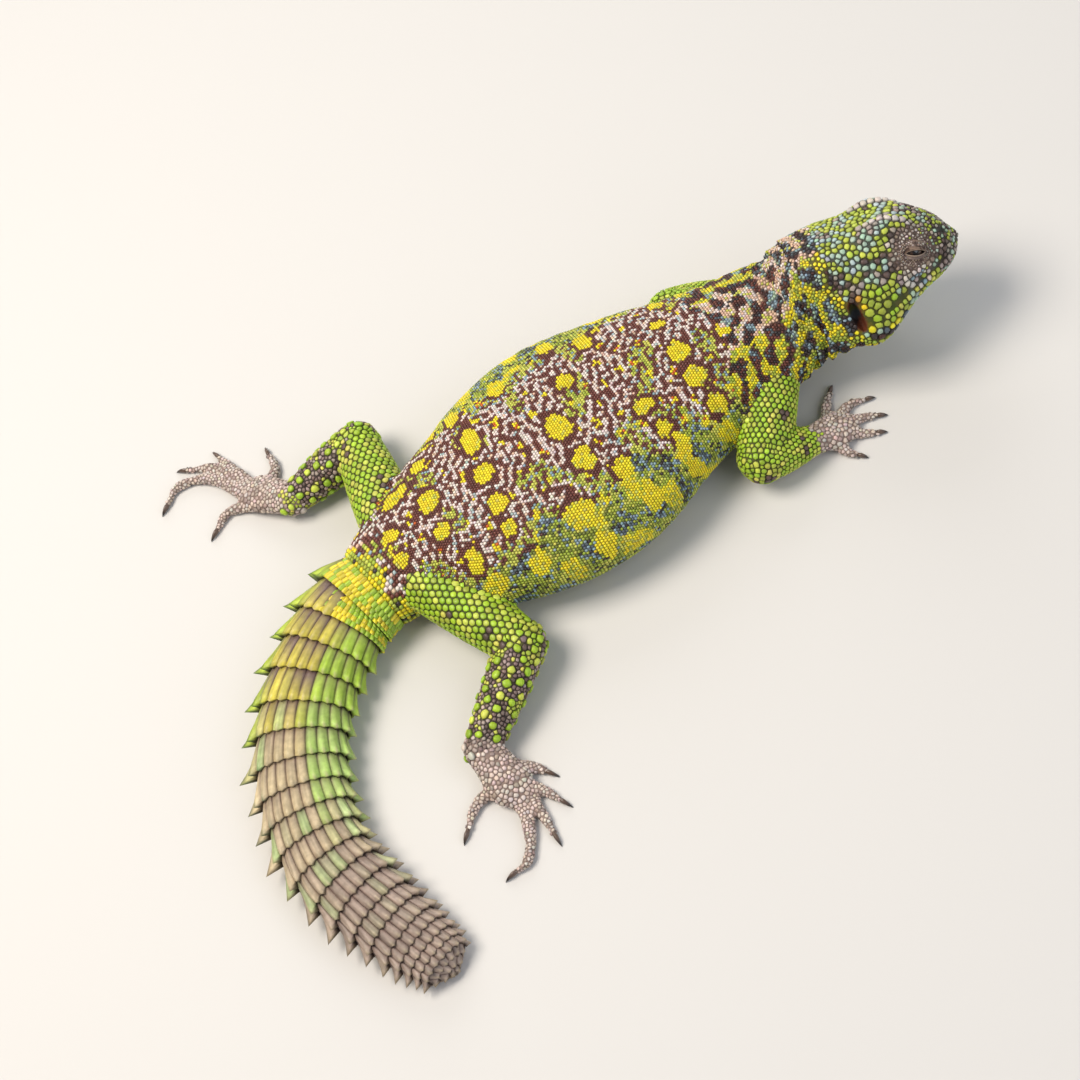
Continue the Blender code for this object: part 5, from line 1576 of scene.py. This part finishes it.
def plateTint(cell, u, v, tipShare, far):
    # gold over the middle, green on the inner third and on the outer points, fading to tan and grey-brown
    # behind; purple-brown at the front and in the seams, as painted shade under the whorl ahead and between
    # neighbours and, on some plates, as their own purple-brown; with streaks along the plate
    cosine, dice = math.cos(cell["mid"]), cell["draw"]
    inner = float(step01(-0.15, -0.45, cosine + 0.3 * (dice - 0.5)))
    outer = float(step01(0.62, 0.9, cosine + 0.2 * (dice - 0.5)))
    colour = mix(tailPaints["gold"], tailPaints["leaf"], max(inner, 0.75 * outer))
    if cell["small"]:
        colour = tailPaints["sun"] if dice < (0.75 if cosine > -0.3 else 0.25) else tailPaints["leaf"]
    faded = mix(tailPaints["tan"], tailPaints["grey"], float(step01(0.5, 0.85, far + 0.15 * (dice - 0.5))))
    fresh = float(step01(0.72, 0.86, dice)) * float(step01(0.95, 0.6, far)) * 0.8
    faded = mix(faded, tailPaints["mint"], fresh)
    colour = mix(colour, tailPaints["mint"], 0.55 * inner * float(step01(0.26, 0.42, far)))
    late = 0.2 * inner  # the inner side stays green for longer
    colour = mix(colour, faded, float(step01(0.3, 0.48, far - late + 0.12 * (dice - 0.5))))
    colour = colour * (0.85 + 0.3 * ((dice * 7.3) % 1.0))
    drawn = np.stack([u * 5 + 0 * v, v * 0.8 + 0 * u, 0 * u * v + 17 * dice], -1)  # long along the plate
    streak = valueNoise(drawn.reshape(-1, 3), 1.0, 81)
    brown = (1 - inner) * float(step01(0.5, 0.3, far)) * ((dice * 3.7) % 1.0)
    # painted shade: darker towards the front, where the plate lies under the whorl ahead, and at both sides
    # against its neighbours; brown adds a random share of the plate's own purple-brown
    dark = np.clip((0.6 + 0.5 * brown) * (1 - v) ** (1.6 - brown) + 0.45 * np.abs(u) ** 4, 0, 1)
    dark = dark * (0.35 if cell["small"] else 1.0)
    shade = mix(np.broadcast_to(colour, dark.shape + (3,)), tailPaints["plum"], dark)
    shade = shade * (0.7 + 0.6 * streak.reshape(dark.shape) + 0.15 * step01(0.8, 1.0, v))[..., None]
    tip = tailPaints["teal"] if cosine > 0.6 and far < 0.6 else tailPaints["tan"]
    shade = mix(shade, tip, np.clip(tipShare * 1.5 - 0.6, 0, 1) * 0.75)
    return shade.reshape(-1, 3)


def plateBorder():
    # indices round the border of a plate's grid, in order
    rows, cols = plate["along"], plate["across"]
    return np.concatenate([np.arange(cols), np.arange(1, rows) * cols + cols - 1,
                           (rows - 1) * cols + np.arange(cols - 2, -1, -1), np.arange(rows - 2, 0, -1) * cols])


def plateUv(cells, ringCount, top, border):
    # the unwrap of the tail: rings one above another, grains in a band of their own, each plate in its own
    # place round its ring; its top, edge and underside lie on separate strips of that place
    across = np.tile(np.linspace(-1, 1, plate["across"]), plate["along"])
    along = np.repeat(np.linspace(0, 1, plate["along"]), plate["across"])
    upper, lower = (np.stack([across, low + high * along], -1)
                    for low, high in (plateMap["top"], plateMap["under"]))
    count = len(border)
    first = np.arange(count) * 2 / count - 1
    edge = np.stack([np.stack([first + 2 / count, first, first, first + 2 / count], -1),
                     np.broadcast_to(np.repeat(plateMap["edge"], 2), (count, 4))], -1)
    patch = np.concatenate([upper[top.ravel()], edge.reshape(-1, 2), lower[border][::-1]])
    slot, half = np.array([c["slot"] for c in cells]), np.array([c["slotHalf"] for c in cells])
    bands = [plateMap["grains" if c["small"] else "plates"] for c in cells]
    low = np.array([band[0] for band in bands])
    high = np.array([band[1] / ringCount[c["small"]] for band, c in zip(bands, cells)])
    ring = np.array([c["ring"] for c in cells])
    u = plateMap["across"][0] + plateMap["across"][1] * (slot[:, None] + half[:, None] * patch[:, 0])
    return np.stack([u, low[:, None] + high[:, None] * (ring[:, None] + patch[:, 1])], -1)


def plateMesh(name, cells, ringCount, plates, tints):
    # each plate's top grid, an edge round its border and one face underneath
    rows, cols = plate["along"], plate["across"]
    i, j = np.meshgrid(np.arange(rows - 1), np.arange(cols - 1), indexing="ij")
    a = (i * cols + j).ravel()
    top = np.stack([a, a + 1, a + cols + 1, a + cols], -1)
    border = plateBorder()
    lower = rows * cols + np.arange(len(border))
    edge = np.stack([np.roll(border, -1), border, lower, np.roll(lower, -1)], -1)
    corners = np.concatenate([top.ravel(), edge.ravel(), lower[::-1]])
    mesh = repeatedMesh(name, plates, corners, [4] * (len(top) + len(edge)) + [len(lower)])
    uv = plateUv(cells, ringCount, top, border)
    mesh.uv_layers.new(name="OFBake").data.foreach_set("uv", uv.astype(np.float32).ravel())
    turnOutwards(mesh)
    paint(mesh, tints.reshape(-1, 3))
    return mesh


plateCells, plateRings = tailCells()
plates, plateTints = tailPlates(plateCells)
tailMesh = plateMesh("tailPlates", plateCells, plateRings, plates, plateTints)
tailMesh.shade_smooth()
newPiece("tailPlates", tailMesh, plateHorn)
print("tail plates:", len(plates))

# floor, light and camera
studio = {"half": 3, "paper": "#d8d6d2", "rough": 0.9, "sky": (0.9, 0.93, 1.0, 1), "skyPower": 0.3,
          "aim": (0, 0, 0.02), "sensor": 36}  # metres, and the camera's sensor in mm
half = studio["half"]
floorMesh = bpy.data.meshes.new("floor")
corners = [(-half, -half, 0), (half, -half, 0), (half, half, 0), (-half, half, 0)]
floorMesh.from_pydata(corners, [], [(0, 1, 2, 3)])
floor = newObject("floor", floorMesh)
paper = bpy.data.materials.new("studioPaper")  # matt seamless paper, pale grey
paper.use_nodes = True
sheet = paper.node_tree.nodes["Principled BSDF"].inputs
sheet["Base Color"].default_value = (*hexLinear(studio["paper"]), 1)
sheet["Roughness"].default_value = studio["rough"]
floorMesh.materials.append(paper)

view = {"lean": 56.0, "roll": 31.0, "distance": 560.0, "target": (0, 0, 12), "pixelsPerMm": 4.0, "frame": 1080}
lean, roll = math.radians(view["lean"]), math.radians(view["roll"])
back = np.array([0, -math.cos(lean), math.sin(lean)])
level = np.array([1.0, 0, 0])
upright = np.cross(back, level)
right = level * math.cos(roll) - upright * math.sin(roll)
upward = level * math.sin(roll) + upright * math.cos(roll)
camera = newObject("camera", bpy.data.cameras.new("camera"))
camera.data.sensor_width = studio["sensor"]
camera.data.lens = view["pixelsPerMm"] * view["distance"] / view["frame"] * studio["sensor"]
camera.data.clip_start, camera.data.clip_end = 0.02, 20
turn = Matrix([(*row,) for row in np.stack([right, upward, back], -1)]).to_4x4()
eyePoint = place(np.array(view["target"]) + back * view["distance"])
camera.matrix_world = Matrix.Translation(Vector(eyePoint)) @ turn
bpy.context.scene.camera = camera

lights = {  # place in metres, width, power in watts, colour
    "key": ((-0.35, 0.15, 0.75), 0.45, 7.0, "#fff6ea"),
    "fill": ((0.55, -0.6, 0.6), 0.8, 3.6, "#eef3ff"),
    "back": ((0.2, 0.9, 0.5), 0.6, 3.0, "#ffffff"),
}
for name, (spot, wide, power, colour) in lights.items():
    lamp = bpy.data.lights.new(name, "AREA")
    lamp.size, lamp.energy, lamp.color = wide, power, hexLinear(colour)
    item = newObject(name, lamp)
    item.location = spot
    item.rotation_euler = (Vector(studio["aim"]) - Vector(spot)).to_track_quat("-Z", "Y").to_euler()
world = bpy.data.worlds.new("studio")
world.use_nodes = True
sky = world.node_tree.nodes["Background"].inputs
sky["Color"].default_value = studio["sky"]
sky["Strength"].default_value = studio["skyPower"]
bpy.context.scene.world = world
bpy.context.scene.view_settings.view_transform = "Standard"
